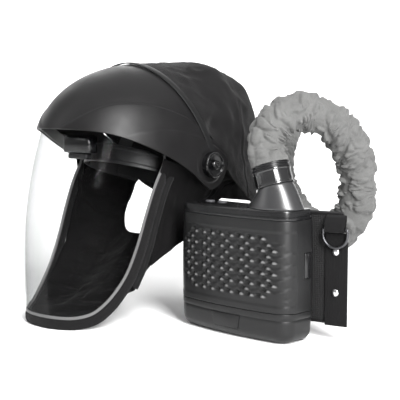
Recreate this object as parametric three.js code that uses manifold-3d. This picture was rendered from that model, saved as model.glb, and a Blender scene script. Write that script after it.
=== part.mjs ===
// Powered air respirator: a grinding helmet with a clear visor and fabric hood,
// a belt-worn blower with filter and battery, and the covered breathing hose between them.
// Millimetres, +Z up, -Y is the front of both the helmet and the blower.
// The origin is on the floor at the centre of the blower's foot.
import * as THREE from 'three';
import { mergeVertices } from 'three/addons/utils/BufferGeometryUtils.js';
import { LoftGeometry } from 'three/addons/geometries/LoftGeometry.js';
import { RoundedBoxGeometry } from 'three/addons/geometries/RoundedBoxGeometry.js';
import Module from 'manifold-3d';

const wasm = await Module();
wasm.setup();

// ---------------------------------------------------------------- dimensions

const GAP = 0.3;            // running and resting clearance between pieces
const WALL = 3;             // moulded wall thickness of the blower

const BODY = {
  halfWidth: 93.9,          // blower half width at mid height
  front: -40,               // front of the belly on the centre line
  frontRadius: 470,         // radius of the bowed front
  cornerRadius: 22,         // front vertical corners
  backRadius: 12,           // back vertical corners
  backCorner: 25,           // y of the back beside the corners
  backSag: 7,               // hollow of the back on the centre line
  barrelMid: 85,            // height of the widest section
  barrelInset: 3,           // inset of the body 80 mm above or below that
  seam: 38,                 // top of the battery
  lidBottom: 150,
  lidTop: 162.4,
  splitY: -12,              // plane between the filter cover and the housing
};

const FAN = { x: -15, z: 95, radius: 38, eye: 28 };
const FILTER = { halfWidth: 75, bottom: 48, top: 140 };

const HOSE = {
  spigotOuter: 17.5,
  spigotInner: 15.4,
  cuffOuter: 20.2,
  nutOuter: 23.2,
  nutLength: 20,
  clampLength: 6.4,
  tubeOuter: 19.8,
  tubeInner: 17.3,
  coverOuter: 24.5,
  coverInner: 21.4,
  spigotLength: 18,
};

const CONE = {
  x: 54.7,                  // centre of the elliptical foot on the lid
  y: -7,
  radiusX: 38.5,
  radiusY: 28.5,
  wall: 2.4,
  topX: 54.1,               // centre of the round mouth
  topZ: 188.4,
  topRadius: 22.4,
  lean: THREE.MathUtils.degToRad(18),
};

const BELT = {
  frontY: 24,               // pad front on the centre line
  bow: 0.0011,              // how fast the pad curves toward the waist
  halfWidth: 121.5,
  thickness: 5,
  bottom: 20,
  top: 158,
  stripInner: 100,
  stripOuter: 128,
  loopHalf: 12.5,
  ringZ: 138,               // axis on which a D-ring swings
  rivetUpper: 110,
  rivetLower: 60,
};

const HELMET = {
  x: -207,                  // mid-plane of the helmet
  pivotY: 28,
  pivotZ: 208,
  domeY: 10,                // centre of the dome in plan
  domeHalfWidth: 116,
  domeFront: 172,
  domeBack: 250,
  domeHeight: 139,
  domePower: 2.35,
  shell: 2.6,
  knobRadius: 17.5,
  knobFace: 127,
};

const VISOR = {
  centreY: -29,
  halfWidth: 89,
  reach: 149,
  reachZ: 95,
  reachFall: 0.0013,         // loss of reach above reachZ, per square millimetre
  reachTuck: 0.0003,         // and below it
  planPower: 2.3,
  thickness: 1.5,
  trimWidth: 13,
};

const HOOD = {
  halfWidth: 112,
  back: 165,
  planPower: 2.5,
  baseZ: 200,
  height: 157,
  power: 3.4,
  thickness: 2.4,
};

const HEADGEAR = {
  centreY: 12,
  centreZ: 200,
  halfWidth: 76,
  halfLength: 91,
  tilt: THREE.MathUtils.degToRad(-16),
  bandHeight: 24,
  thickness: 2,
};

const group = new THREE.Group();
const helmet = new THREE.Group();
helmet.position.x = HELMET.x;
group.add(helmet);

// ----------------------------------------------------------------- materials

const plastic = (color, roughness) => new THREE.MeshStandardMaterial({ color, roughness, metalness: 0 });
const fabric = (color) => new THREE.MeshStandardMaterial({ color, roughness: 0.95, metalness: 0 });
const metal = (color, roughness) => new THREE.MeshStandardMaterial({ color, roughness, metalness: 1 });

// ------------------------------------------------------------ shared helpers

// Merges shared vertices, drops collapsed triangles and turns the faces outward.
function welded(source) {
  const bare = source.index ? source.toNonIndexed() : source.clone();
  bare.deleteAttribute('normal');
  bare.deleteAttribute('uv');
  const merged = mergeVertices(bare, 1e-4);
  const index = merged.index.array;
  const kept = [];
  for (let i = 0; i < index.length; i += 3) {
    const [a, b, c] = [index[i], index[i + 1], index[i + 2]];
    if (a !== b && b !== c && c !== a) kept.push(a, b, c);
  }
  merged.setIndex(kept);
  if (volumeOf(merged) < 0) merged.setIndex(kept.reverse());
  merged.computeVertexNormals();
  return merged;
}

function volumeOf(geometry) {
  const position = geometry.attributes.position;
  const index = geometry.index.array;
  const [a, b, c] = [new THREE.Vector3(), new THREE.Vector3(), new THREE.Vector3()];
  let total = 0;
  for (let i = 0; i < index.length; i += 3) {
    a.fromBufferAttribute(position, index[i]);
    b.fromBufferAttribute(position, index[i + 1]);
    c.fromBufferAttribute(position, index[i + 2]);
    total += a.dot(b.cross(c)) / 6;
  }
  return total;
}

function toSolid(geometry) {
  const shape = welded(geometry);
  return new wasm.Manifold(new wasm.Mesh({
    numProp: 3,
    vertProperties: new Float32Array(shape.attributes.position.array),
    triVerts: new Uint32Array(shape.index.array),
  }));
}

function fromSolid(solid) {
  const mesh = solid.getMesh();
  const geometry = new THREE.BufferGeometry();
  geometry.setAttribute('position', new THREE.BufferAttribute(mesh.vertProperties, 3));
  geometry.setIndex(new THREE.BufferAttribute(mesh.triVerts, 1));
  geometry.computeVertexNormals();
  return geometry;
}

// Booleans on geometries: the first one less, with, or shared with all the others.
const combined = (operation) => (first, ...others) => (
  fromSolid(others.reduce((solid, other) => solid[operation](toSolid(other)), toSolid(first)))
);
const cut = combined('subtract');
const join = combined('add');
const common = combined('intersect');

function addPart(name, geometry, material, parent = group) {
  const mesh = new THREE.Mesh(welded(geometry), material);
  mesh.name = name;
  parent.add(mesh);
  return mesh;
}

// A box given by its lower and upper corner.
function boxBetween(x0, x1, y0, y1, z0, z1) {
  const box = new THREE.BoxGeometry(x1 - x0, y1 - y0, z1 - z0);
  return box.translate((x0 + x1) / 2, (y0 + y1) / 2, (z0 + z1) / 2);
}

// The same box with rounded edges.
function roundedBetween(x0, x1, y0, y1, z0, z1, radius, segments = 2) {
  const box = new RoundedBoxGeometry(x1 - x0, y1 - y0, z1 - z0, segments, radius);
  return box.translate((x0 + x1) / 2, (y0 + y1) / 2, (z0 + z1) / 2);
}

// A solid of revolution about +Z from [radius, height] pairs.
function turned(profile, segments = 32) {
  const points = profile.map(([radius, height]) => new THREE.Vector2(radius, height));
  return new THREE.LatheGeometry(points, segments).rotateX(Math.PI / 2);
}

// A ring of rectangular section about +Z.
function ring(outer, inner, z0, z1, segments = 32) {
  return turned([[inner, z0], [outer, z0], [outer, z1], [inner, z1], [inner, z0]], segments);
}

// A plain cylinder about +Z.
function rod(radius, z0, z1, segments = 24) {
  return turned([[0, z0], [radius, z0], [radius, z1], [0, z1]], segments);
}

// Turns a +Z solid to point along the given direction from the given origin.
function aimed(geometry, origin, direction) {
  const turn = new THREE.Quaternion().setFromUnitVectors(new THREE.Vector3(0, 0, 1), direction);
  return geometry.applyQuaternion(turn).translate(origin.x, origin.y, origin.z);
}

// A prism whose outline lies in the Y-Z plane and which spans x from -half to half.
function sideProfile(outline, half) {
  const shape = new THREE.Shape(outline.map(([y, z]) => new THREE.Vector2(y, z)));
  const prism = new THREE.ExtrudeGeometry(shape, { depth: 2 * half, bevelEnabled: false });
  return prism.applyMatrix4(new THREE.Matrix4().set(
    0, 0, 1, -half,
    1, 0, 0, 0,
    0, 1, 0, 0,
    0, 0, 0, 1,
  ));
}

function arc(cx, cy, radius, start, end, steps) {
  const points = [];
  for (let i = 0; i <= steps; i += 1) {
    const angle = THREE.MathUtils.degToRad(start + (end - start) * i / steps);
    points.push([cx + radius * Math.cos(angle), cy + radius * Math.sin(angle)]);
  }
  return points;
}

// A closed sheet of even thickness on a surface(s, t), both parameters running from 0 to 1.
function sheet(surface, thickness, columns, rows) {
  const step = 1e-3;
  const offset = (s, t, side) => {
    const here = surface(s, t);
    const across = surface(Math.min(1, s + step), t).sub(surface(Math.max(0, s - step), t));
    const along = surface(s, Math.min(1, t + step)).sub(surface(s, Math.max(0, t - step)));
    return here.addScaledVector(across.cross(along).normalize(), side * thickness / 2);
  };
  // Each end closes on the middle line of the sheet, drawn in a little from its two edges.
  const closingLine = (s) => {
    const line = [];
    for (let j = 0; j <= rows; j += 1) line.push(surface(s, 0.5 + 0.96 * (j / rows - 0.5)));
    return [...line, ...line.slice().reverse()];
  };
  const sections = [closingLine(0)];
  for (let i = 0; i <= columns; i += 1) {
    const section = [];
    for (let j = 0; j <= rows; j += 1) section.push(offset(i / columns, j / rows, 1));
    for (let j = rows; j >= 0; j -= 1) section.push(offset(i / columns, j / rows, -1));
    sections.push(section);
  }
  sections.push(closingLine(1));
  return new LoftGeometry(sections);
}

// A tube of ring section along a path, open at both ends.
function hollowTube(path, outer, inner, steps, sides) {
  const shape = new THREE.Shape().absarc(0, 0, outer, 0, 2 * Math.PI);
  shape.holes.push(new THREE.Path().absarc(0, 0, inner, 0, 2 * Math.PI, true));
  return new THREE.ExtrudeGeometry(shape, { extrudePath: path, steps, curveSegments: sides / 2 });
}

// -------------------------------------------------------------------- blower

// Plan outline of the blower, counter-clockwise from the left end of the bowed front.
function bodyOutline(inset) {
  const corner = BODY.cornerRadius;
  const cornerX = BODY.halfWidth - corner;
  const frontCentreY = BODY.front + BODY.frontRadius;
  const halfAngle = THREE.MathUtils.radToDeg(Math.asin(cornerX / (BODY.frontRadius - corner)));
  const reach = BODY.frontRadius - corner;
  const cornerY = frontCentreY - reach * Math.cos(THREE.MathUtils.degToRad(halfAngle));
  const backX = BODY.halfWidth - BODY.backRadius;
  const backCentreY = BODY.backCorner - BODY.backRadius;
  const hollow = (backX ** 2 + BODY.backSag ** 2) / (2 * BODY.backSag);
  const hollowAngle = THREE.MathUtils.radToDeg(Math.asin(backX / hollow));
  const round = Math.max(BODY.backRadius - inset, 1);
  return [
    ...arc(0, frontCentreY, BODY.frontRadius - inset, -90 - halfAngle, -90 + halfAngle, 8),
    ...arc(cornerX, cornerY, corner - inset, -90 + halfAngle, 0, 4).slice(1),
    ...arc(backX, backCentreY, round, 0, 90, 3),
    ...arc(0, BODY.backCorner - BODY.backSag + hollow, hollow + inset,
      -90 + hollowAngle, -90 - hollowAngle, 6).slice(1, -1),
    ...arc(-backX, backCentreY, round, 90, 180, 3),
    ...arc(-cornerX, cornerY, corner - inset, 180, 270 - halfAngle, 4).slice(0, -1),
  ];
}

// A stretch of the barrel-shaped body from z0 to z1; footRound and topRound round its ends.
function bodyBlock(inset, z0, z1, { footRound = 0, topRound = 0 } = {}) {
  const heights = [];
  const roundSteps = 4;
  for (let i = 0; footRound > 0 && i < roundSteps; i += 1) {
    const angle = (i / roundSteps) * Math.PI / 2;
    heights.push([z0 + footRound * (1 - Math.cos(angle)), footRound * (1 - Math.sin(angle))]);
  }
  const low = z0 + footRound;
  const high = z1 - topRound;
  const bands = Math.max(1, Math.round((high - low) / 28));
  for (let i = 0; i <= bands; i += 1) heights.push([low + (high - low) * i / bands, 0]);
  for (let i = 1; topRound > 0 && i <= roundSteps; i += 1) {
    const angle = (i / roundSteps) * Math.PI / 2;
    heights.push([high + topRound * Math.sin(angle), topRound * (1 - Math.cos(angle))]);
  }
  const sections = heights.map(([z, extra]) => {
    const barrel = BODY.barrelInset * ((z - BODY.barrelMid) / 80) ** 2;
    return bodyOutline(inset + extra + barrel).map(([x, y]) => new THREE.Vector3(x, y, z));
  });
  return new LoftGeometry(sections, { capStart: true, capEnd: true });
}

const bodyShell = plastic(0x3a3a3c, 0.5);
const darkShell = plastic(0x242426, 0.35);
const blackPlastic = plastic(0x17171a, 0.4);

// Battery: the whole foot of the blower, with a press-in latch on its front.
const LATCH = { top: 29, bottom: 11, halfTop: 24.5, halfBottom: 21, depth: -30.6, travel: 2.5 };

function latchPrism(shrink, yFront, yBack) {
  const shape = new THREE.Shape([
    new THREE.Vector2(-LATCH.halfTop + shrink, LATCH.top - shrink),
    new THREE.Vector2(-LATCH.halfBottom + shrink, LATCH.bottom + shrink),
    new THREE.Vector2(LATCH.halfBottom - shrink, LATCH.bottom + shrink),
    new THREE.Vector2(LATCH.halfTop - shrink, LATCH.top - shrink),
  ]);
  const prism = new THREE.ExtrudeGeometry(shape, { depth: yBack - yFront, bevelEnabled: false });
  return prism.rotateX(Math.PI / 2).translate(0, yBack, 0);
}

const battery = bodyBlock(0, 0, BODY.seam - GAP, { footRound: 13 });
addPart('battery_pack', cut(battery, latchPrism(0, -60, LATCH.depth)), bodyShell);
const latchBack = LATCH.depth - LATCH.travel - 0.6;
addPart('battery_latch', common(latchPrism(0.5, -60, latchBack), bodyBlock(-0.8, 2, BODY.seam)), bodyShell);

// Housing: the tub behind the filter, open to the front.
const housingBlock = common(
  bodyBlock(0, BODY.seam, BODY.lidBottom - GAP),
  boxBetween(-120, 120, BODY.splitY + GAP, 60, 0, 200),
);
const housingRoom = common(
  bodyBlock(WALL, BODY.seam + WALL, BODY.lidBottom - GAP - WALL),
  boxBetween(-120, 120, -60, 60, 0, 200),
);
const airPort = () => rod(18, 140, 170, 20).translate(CONE.x, CONE.y, 0);
const SIDE_LATCH = { y0: 1, y1: 13, z0: 78, z1: 110 };
const sideLatchHoles = [-1, 1].map((side) => boxBetween(
  side * 100 - 15, side * 100 + 15, SIDE_LATCH.y0, SIDE_LATCH.y1, SIDE_LATCH.z0, SIDE_LATCH.z1,
));
addPart('blower_housing', cut(housingBlock, housingRoom, airPort(), ...sideLatchHoles), bodyShell);

// Side latches: press in through the housing wall, held by an inner flange.
for (const [name, side] of [['cover_latch_right', 1], ['cover_latch_left', -1]]) {
  const face = side * (BODY.halfWidth + 0.9);
  const flangeOut = side * (BODY.halfWidth - WALL - 1.2);
  const flangeIn = side * (BODY.halfWidth - WALL - 3);
  const { y0, y1, z0, z1 } = SIDE_LATCH;
  const button = roundedBetween(
    Math.min(face, flangeIn), Math.max(face, flangeIn), y0 + 0.5, y1 - 0.5, z0 + 0.5, z1 - 0.5, 1, 1,
  );
  const flange = boxBetween(
    Math.min(flangeOut, flangeIn), Math.max(flangeOut, flangeIn), y0 - 2, y1 + 1.4, z0 - 2, z1 + 2,
  );
  addPart(name, join(button, flange), darkShell);
}

// Filter cover: the bowed front, lifted off forward.
const coverBlock = common(
  bodyBlock(0, BODY.seam, BODY.lidBottom - GAP),
  boxBetween(-120, 120, -60, BODY.splitY, 0, 200),
);
const coverRoom = bodyBlock(WALL, BODY.seam + WALL, BODY.lidBottom - GAP - WALL);
addPart('filter_cover', cut(coverBlock, coverRoom), bodyShell);

// Filter stack behind the cover.
addPart('spark_screen', roundedBetween(-71, 71, -29.9, -28.5, FILTER.bottom + 2, FILTER.top - 4, 0.6, 1),
  metal(0x8a8a8a, 0.5));
addPart('particle_filter', roundedBetween(
  -FILTER.halfWidth, FILTER.halfWidth, -28.2, -11, FILTER.bottom, FILTER.top, 2, 1,
), plastic(0xd8d8d2, 0.8));

// Fan: a spiral volute with an eye in its front, a bladed wheel and its motor.
function spiral(grow) {
  const turns = [];
  for (let i = 0; i <= 24; i += 1) {
    const angle = (-60 + i * 15) * Math.PI / 180;
    const radius = FAN.radius + 3 + 7 * (i / 24) + grow;
    turns.push(new THREE.Vector2(radius * Math.cos(angle), radius * Math.sin(angle)));
  }
  return new THREE.Shape(turns);
}

function spiralBlock(grow, y0, y1) {
  const block = new THREE.ExtrudeGeometry(spiral(grow), { depth: y1 - y0, bevelEnabled: false });
  return block.rotateX(Math.PI / 2).translate(FAN.x, y1, FAN.z);
}

const yRod = (radius, y0, y1, segments) => rod(radius, -y1, -y0, segments).rotateX(Math.PI / 2);
const atFan = (geometry) => geometry.translate(FAN.x, 0, FAN.z);
const spout = { x0: 38, x1: 66, z0: 104, z1: 145 };
const spoutBlock = join(
  boxBetween(FAN.x + 20, spout.x1, -8, 12, spout.z0, 128),
  boxBetween(spout.x0, spout.x1, -8, 12, spout.z0, spout.z1),
);
const spoutRoom = join(
  boxBetween(FAN.x + 20, spout.x1 - 2, -6, 10, spout.z0 + 2, 126),
  boxBetween(spout.x0 + 2, spout.x1 - 2, -6, 10, spout.z0 + 2, spout.z1 + 2),
);
addPart('fan_volute', cut(
  join(spiralBlock(2, -8, 12), spoutBlock),
  spiralBlock(0, -6, 10),
  spoutRoom,
  atFan(yRod(FAN.eye, -10, -5, 28)),
), plastic(0x2c2c30, 0.6));

const hubCup = cut(atFan(yRod(15.5, -4.6, 8, 24)), atFan(yRod(13.4, -2.6, 9, 24)));
const backDisc = cut(atFan(yRod(FAN.radius, 6.4, 8, 32)), atFan(yRod(14, 5, 9, 24)));
const bladeCount = 11;
const blades = [];
for (let i = 0; i < bladeCount; i += 1) {
  const blade = boxBetween(14.6, FAN.radius - 1, -4.4, 7, -0.8, 0.8);
  blades.push(atFan(blade.rotateY(i * 2 * Math.PI / bladeCount)));
}
addPart('fan_impeller', join(hubCup, backDisc, ...blades), plastic(0x55585c, 0.5));
addPart('fan_motor', atFan(yRod(12.8, -2, 9.7, 24)), metal(0xa8a8aa, 0.4));

addPart('circuit_board', join(
  boxBetween(50, 84, 4, 5.6, 50, 96),
  boxBetween(54, 66, 1.6, 4.6, 58, 70),
  boxBetween(70, 80, 0.6, 4.6, 74, 90),
), plastic(0x1c4a30, 0.6));

// Lid with its control panel and two buttons.
const BUTTON = { radius: 6, y: -10, powerX: -54, flowX: -32 };
const buttonPockets = () => [BUTTON.powerX, BUTTON.flowX].map((x) => (
  rod(BUTTON.radius + 0.4, BODY.lidTop - 3, BODY.lidTop + 5, 16).translate(x, BUTTON.y, 0)
));
const lidBlock = bodyBlock(0, BODY.lidBottom, BODY.lidTop, { topRound: 2 });
const lidRoom = bodyBlock(WALL, BODY.lidBottom - 1, BODY.lidTop - 4.4);
addPart('top_lid', cut(lidBlock, lidRoom, airPort(), ...buttonPockets()), darkShell);
addPart('control_panel', cut(
  roundedBetween(-68, -18, -22, 2, BODY.lidTop + GAP, BODY.lidTop + 1.1, 0.35, 1),
  ...buttonPockets(),
), plastic(0x101012, 0.3));
for (const [name, x] of [['power_button', BUTTON.powerX], ['airflow_button', BUTTON.flowX]]) {
  const button = rod(BUTTON.radius, BODY.lidTop - 1.5, BODY.lidTop + 2.6, 16);
  addPart(name, button.translate(x, BUTTON.y, 0), plastic(0x4c4c50, 0.5));
}

// Outlet cone: an elliptical foot on the lid drawn up into a leaning round spigot.
const coneMouth = new THREE.Vector3(CONE.topX, CONE.y, CONE.topZ);
const coneAxis = new THREE.Vector3(-Math.sin(CONE.lean), 0, Math.cos(CONE.lean));

function coneSection(rise, inset, sides = 24) {
  const blend = rise * rise * (3 - 2 * rise);
  const across = new THREE.Vector3(Math.cos(CONE.lean), 0, Math.sin(CONE.lean)).lerp(
    new THREE.Vector3(1, 0, 0), 1 - blend).normalize();
  const centre = new THREE.Vector3(CONE.x, CONE.y, BODY.lidTop + GAP).lerp(coneMouth, rise);
  const radiusX = THREE.MathUtils.lerp(CONE.radiusX, CONE.topRadius, rise) - inset;
  const radiusY = THREE.MathUtils.lerp(CONE.radiusY, CONE.topRadius, rise) - inset;
  const points = [];
  for (let i = 0; i < sides; i += 1) {
    const angle = i / sides * 2 * Math.PI;
    const point = centre.clone().addScaledVector(across, radiusX * Math.cos(angle));
    points.push(point.add(new THREE.Vector3(0, radiusY * Math.sin(angle), 0)));
  }
  return points;
}

const coneRises = [0, 0.33, 0.67, 1];
const coneOuter = new LoftGeometry(
  coneRises.map((rise) => coneSection(rise, 0)),
  { capStart: true, capEnd: true },
);
const coneInner = new LoftGeometry(
  [-0.02, 0.33, 0.67, 1.02].map((rise) => coneSection(rise, CONE.wall + 4 * Math.max(0, rise))),
  { capStart: true, capEnd: true },
);
const coneSpigot = aimed(rod(HOSE.spigotOuter, -3, HOSE.spigotLength, 20), coneMouth, coneAxis);
const coneBore = aimed(rod(HOSE.spigotInner, -4, HOSE.spigotLength + 2, 20), coneMouth, coneAxis);
addPart('outlet_cone', cut(join(coneOuter, coneSpigot), coneInner, coneBore), darkShell);

// ---------------------------------------------------------------------- hose

// Nut and cuff of a hose end: they sit on a spigot that starts at origin and points along axis.
function hoseEnd(side, origin, axis, nutMaterial) {
  const nutStart = 0.5;
  const nut = ring(HOSE.nutOuter, HOSE.cuffOuter + 0.4, nutStart, nutStart + HOSE.nutLength, 24);
  const ribCount = 8;
  const ribs = [];
  for (let i = 0; i < ribCount; i += 1) {
    const ribOut = HOSE.nutOuter + 0.5;
    const rib = boxBetween(HOSE.nutOuter - 1, ribOut, -1.2, 1.2, nutStart + 3, HOSE.nutLength - 3);
    ribs.push(rib.rotateZ(i * 2 * Math.PI / ribCount));
  }
  const lip = ring(HOSE.nutOuter + 0.5, HOSE.cuffOuter + 0.4, nutStart, nutStart + 2, 24);
  addPart(`hose_nut_${side}`, aimed(join(nut, lip, ...ribs), origin, axis), nutMaterial);
  const cuffEnd = nutStart + HOSE.nutLength + HOSE.clampLength;
  const cuff = ring(HOSE.cuffOuter, HOSE.spigotOuter + 0.4, 1.5, cuffEnd, 24);
  addPart(`hose_cuff_${side}`, aimed(cuff, origin, axis), plastic(0x2a2a2a, 0.7));
}

hoseEnd('blower', coneMouth, coneAxis, plastic(0x2a2a2c, 0.22));
const clampStart = 0.5 + HOSE.nutLength + 0.4;
const clampRing = (grow, from, length) => (
  ring(HOSE.nutOuter + grow, HOSE.cuffOuter + 0.4, clampStart + from, clampStart + from + length, 24)
);
const clampCore = clampRing(-0.6, 0, HOSE.clampLength - 0.4);
const clampLips = [0, HOSE.clampLength - 2].map((from) => clampRing(0.6, from, 1.6));
addPart('hose_clamp_blower', aimed(join(clampCore, ...clampLips), coneMouth, coneAxis), blackPlastic);

// The inlet elbow leaves the air duct toward the back, then turns up and toward the blower.
const ELBOW = { startY: 158.2, straight: 32.4, radius: 30, turn: THREE.MathUtils.degToRad(75), z: 214 };
const elbowSide = new THREE.Vector3(0.82, 0, 0.57).normalize();
const elbowAxis = elbowSide.clone().multiplyScalar(Math.sin(ELBOW.turn));
elbowAxis.y = Math.cos(ELBOW.turn);
function elbowPoint(angle) {
  const back = ELBOW.startY + ELBOW.straight + ELBOW.radius * Math.sin(angle);
  const point = new THREE.Vector3(0, back, ELBOW.z);
  return point.addScaledVector(elbowSide, ELBOW.radius * (1 - Math.cos(angle)));
}
const elbowBend = elbowPoint(ELBOW.turn);
const elbowBendWorld = elbowBend.clone().add(new THREE.Vector3(HELMET.x, 0, 0));
hoseEnd('helmet', elbowBendWorld, elbowAxis, plastic(0x2a2a2c, 0.3));

// The hose climbs from the cone, loops over and down behind the belt, then crosses to the helmet.
const hoseStart = HOSE.nutLength + HOSE.clampLength + 1.2;
const along = (origin, axis, distance) => origin.clone().addScaledVector(axis, distance);
const hosePath = new THREE.CatmullRomCurve3([
  along(coneMouth, coneAxis, hoseStart),
  along(coneMouth, coneAxis, hoseStart + 16),
  new THREE.Vector3(40, -4, 248),
  new THREE.Vector3(47, 7, 268),
  new THREE.Vector3(60, 33, 279),
  new THREE.Vector3(79, 70, 266),
  new THREE.Vector3(91, 98, 230),
  new THREE.Vector3(92, 110, 186),
  new THREE.Vector3(82, 109, 142),
  new THREE.Vector3(46, 104, 116),
  new THREE.Vector3(8, 98, 137),
  new THREE.Vector3(-18, 99, 159),
  new THREE.Vector3(-38, 106, 183),
  new THREE.Vector3(-52, 118, 210),
  new THREE.Vector3(-66, 141, 237),
  new THREE.Vector3(-84, 174, 256),
  new THREE.Vector3(-108, 203, 263),
  new THREE.Vector3(-132, 223, 262),
  along(elbowBendWorld, elbowAxis, hoseStart + 16),
  along(elbowBendWorld, elbowAxis, hoseStart),
]);
addPart('hose_tube', hollowTube(hosePath, HOSE.tubeOuter, HOSE.tubeInner, 34, 8), plastic(0x1c1c1e, 0.6));
addPart('hose_cover', hollowTube(hosePath, HOSE.coverOuter, HOSE.coverInner, 34, 12), fabric(0x9a9b9c));

// ---------------------------------------------------------------------- belt

const padFront = (x) => BELT.frontY + BELT.bow * x * x;
const webbing = fabric(0x1d1d1f);

// A curved slab that follows the pad, from x0 to x1, with its front face forward of the pad front.
function beltSlab(x0, x1, forward, thickness, z0, z1, columns) {
  const surface = (s, t) => {
    const x = x0 + (x1 - x0) * s;
    return new THREE.Vector3(x, padFront(x) - forward + thickness / 2, z0 + (z1 - z0) * t);
  };
  return sheet(surface, thickness, columns, 1);
}

addPart('belt_pad', beltSlab(-BELT.halfWidth, BELT.halfWidth, 0, BELT.thickness, BELT.bottom, BELT.top, 16),
  fabric(0x222224));
addPart('belt_bracket', roundedBetween(-30, 30, 19.6, 23.5, 62, 122, 1, 1), blackPlastic);

for (const side of [-1, 1]) {
  const label = side > 0 ? 'right' : 'left';
  const [inner, outer] = [side * BELT.stripInner, side * BELT.stripOuter].sort((a, b) => a - b);
  const strip = beltSlab(inner, outer, 2.8, 2.4, BELT.bottom - 1, BELT.ringZ - 6, 4);
  addPart(`belt_strip_${label}`, strip, webbing);

  const x = side * (BELT.stripInner + BELT.stripOuter) / 2;
  const lean = Math.atan(2 * BELT.bow * x);
  const strapFace = padFront(x);
  const mount = new THREE.Group();
  mount.position.set(x, strapFace, 0);
  mount.rotation.z = lean;
  group.add(mount);

  // Webbing loop folded over the straight bar of the D-ring.
  const ringY = -6.2;
  const wrap = arc(ringY, BELT.ringZ, 4.6, 180, 360, 8);
  const back = arc(ringY, BELT.ringZ, 2.8, 360, 180, 8);
  const loopTop = BELT.top - 3;
  const loopProfile = [[ringY - 4.6, loopTop - 2], ...wrap, [-0.4, loopTop], [ringY - 3.4, loopTop]];
  const loopHole = [[-1.9 - 1.5, loopTop - 4], [ringY - 2.8, loopTop - 4], ...back.slice().reverse()];
  addPart(`d_ring_loop_${label}`, cut(
    sideProfile(loopProfile, BELT.loopHalf),
    sideProfile(loopHole, BELT.loopHalf + 2),
  ), webbing, mount);

  // D-ring: a straight bar in the loop and a round bow below it.
  const wire = 1.9;
  const halfBar = BELT.loopHalf + 3.4;
  const bow = new THREE.CatmullRomCurve3([
    new THREE.Vector3(halfBar, ringY, BELT.ringZ),
    new THREE.Vector3(halfBar, ringY, BELT.ringZ - 7),
    new THREE.Vector3(halfBar * 0.71, ringY, BELT.ringZ - 7 - halfBar * 0.71),
    new THREE.Vector3(0, ringY, BELT.ringZ - 7 - halfBar),
    new THREE.Vector3(-halfBar * 0.71, ringY, BELT.ringZ - 7 - halfBar * 0.71),
    new THREE.Vector3(-halfBar, ringY, BELT.ringZ - 7),
    new THREE.Vector3(-halfBar, ringY, BELT.ringZ),
  ]);
  const wireShape = new THREE.Shape().absarc(0, 0, wire, 0, 2 * Math.PI);
  const bowSolid = new THREE.ExtrudeGeometry(wireShape, { extrudePath: bow, steps: 14, curveSegments: 3 });
  const bar = rod(wire, -halfBar - wire * 0.9, halfBar + wire * 0.9, 10).rotateY(Math.PI / 2);
  const dRing = join(bowSolid, bar.translate(0, ringY, BELT.ringZ));
  addPart(`d_ring_${label}`, dRing, metal(0x3c3c3e, 0.35), mount);

  for (const [level, z] of [['upper', BELT.rivetUpper], ['lower', BELT.rivetLower]]) {
    const dome = turned([[0, 0], [4.6, 0], [4.4, 1], [3, 2.2], [0, 2.7]], 16).rotateX(Math.PI / 2);
    addPart(`belt_rivet_${label}_${level}`, dome.translate(0, -3.3, z), metal(0xb8b8ba, 0.2), mount);
  }
}

// Waist strap: runs along the back of the pad and folds round its ends to the buckle behind.
const STRAP = {
  z0: 76,
  z1: 102,
  thickness: 2.2,
  padGap: 1.2,
  foldRadius: 9,
  rightEnd: 18,
  leftEnd: -34,
  halfSpan: 96,
};
const strapFront = (x) => padFront(x) + BELT.thickness + STRAP.padGap + STRAP.thickness / 2;
const strapRear = strapFront(STRAP.halfSpan) + 2 * STRAP.foldRadius + 4;

// Middle line of the strap at height z.
function strapLine(z) {
  const points = [];
  for (let x = -STRAP.halfSpan; x <= STRAP.halfSpan; x += STRAP.halfSpan / 6) {
    points.push(new THREE.Vector3(x, strapFront(x), z));
  }
  const foldX = STRAP.halfSpan + STRAP.foldRadius;
  const foldY = strapFront(STRAP.halfSpan) + STRAP.foldRadius + 2;
  const rightTurn = [
    new THREE.Vector3(foldX, foldY, z),
    new THREE.Vector3(STRAP.halfSpan, strapRear - 2, z),
  ];
  const leftTurn = rightTurn.map((point) => new THREE.Vector3(-point.x, point.y, z)).reverse();
  const rightRun = [72, 46, STRAP.rightEnd].map((x) => new THREE.Vector3(x, strapRear, z));
  const leftRun = [STRAP.leftEnd, -52, -74].map((x) => new THREE.Vector3(x, strapRear, z));
  return new THREE.CatmullRomCurve3([...leftRun, ...leftTurn, ...points, ...rightTurn, ...rightRun]);
}
const strapLow = strapLine(STRAP.z0);
const strapHigh = strapLine(STRAP.z1);
const strapSurface = (s, t) => strapLow.getPoint(s).lerp(strapHigh.getPoint(s), t);
addPart('waist_strap', sheet(strapSurface, STRAP.thickness, 40, 1), webbing);

// Side-release buckle on the free ends of the strap.
const buckleZ = (STRAP.z0 + STRAP.z1) / 2;
const buckleBlock = (x0, x1, halfDepth, halfHeight) => (
  boxBetween(x0, x1, strapRear - halfDepth, strapRear + halfDepth, buckleZ - halfHeight, buckleZ + halfHeight)
);
const buckleShell = (x0, x1, halfDepth, radius) => roundedBetween(
  x0, x1, strapRear - halfDepth, strapRear + halfDepth, buckleZ - 18, buckleZ + 18, radius, 1,
);
const strapSlot = (x0, x1) => buckleBlock(x0, x1, 1.8, 13.8);
addPart('buckle_female', cut(
  buckleShell(-44, -10, 6, 3),
  buckleBlock(-30, -8, 3.4, 14),
  strapSlot(-50, -29),
), blackPlastic);
const prongs = [-1, 1].map((side) => buckleBlock(-27, -6, 2.6, 2.6).translate(0, 0, side * 10));
addPart('buckle_male', join(
  cut(buckleShell(-9.4, 24, 5, 2.5), strapSlot(-12, 30)),
  ...prongs,
), blackPlastic);

// -------------------------------------------------------------- helmet shell

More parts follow.
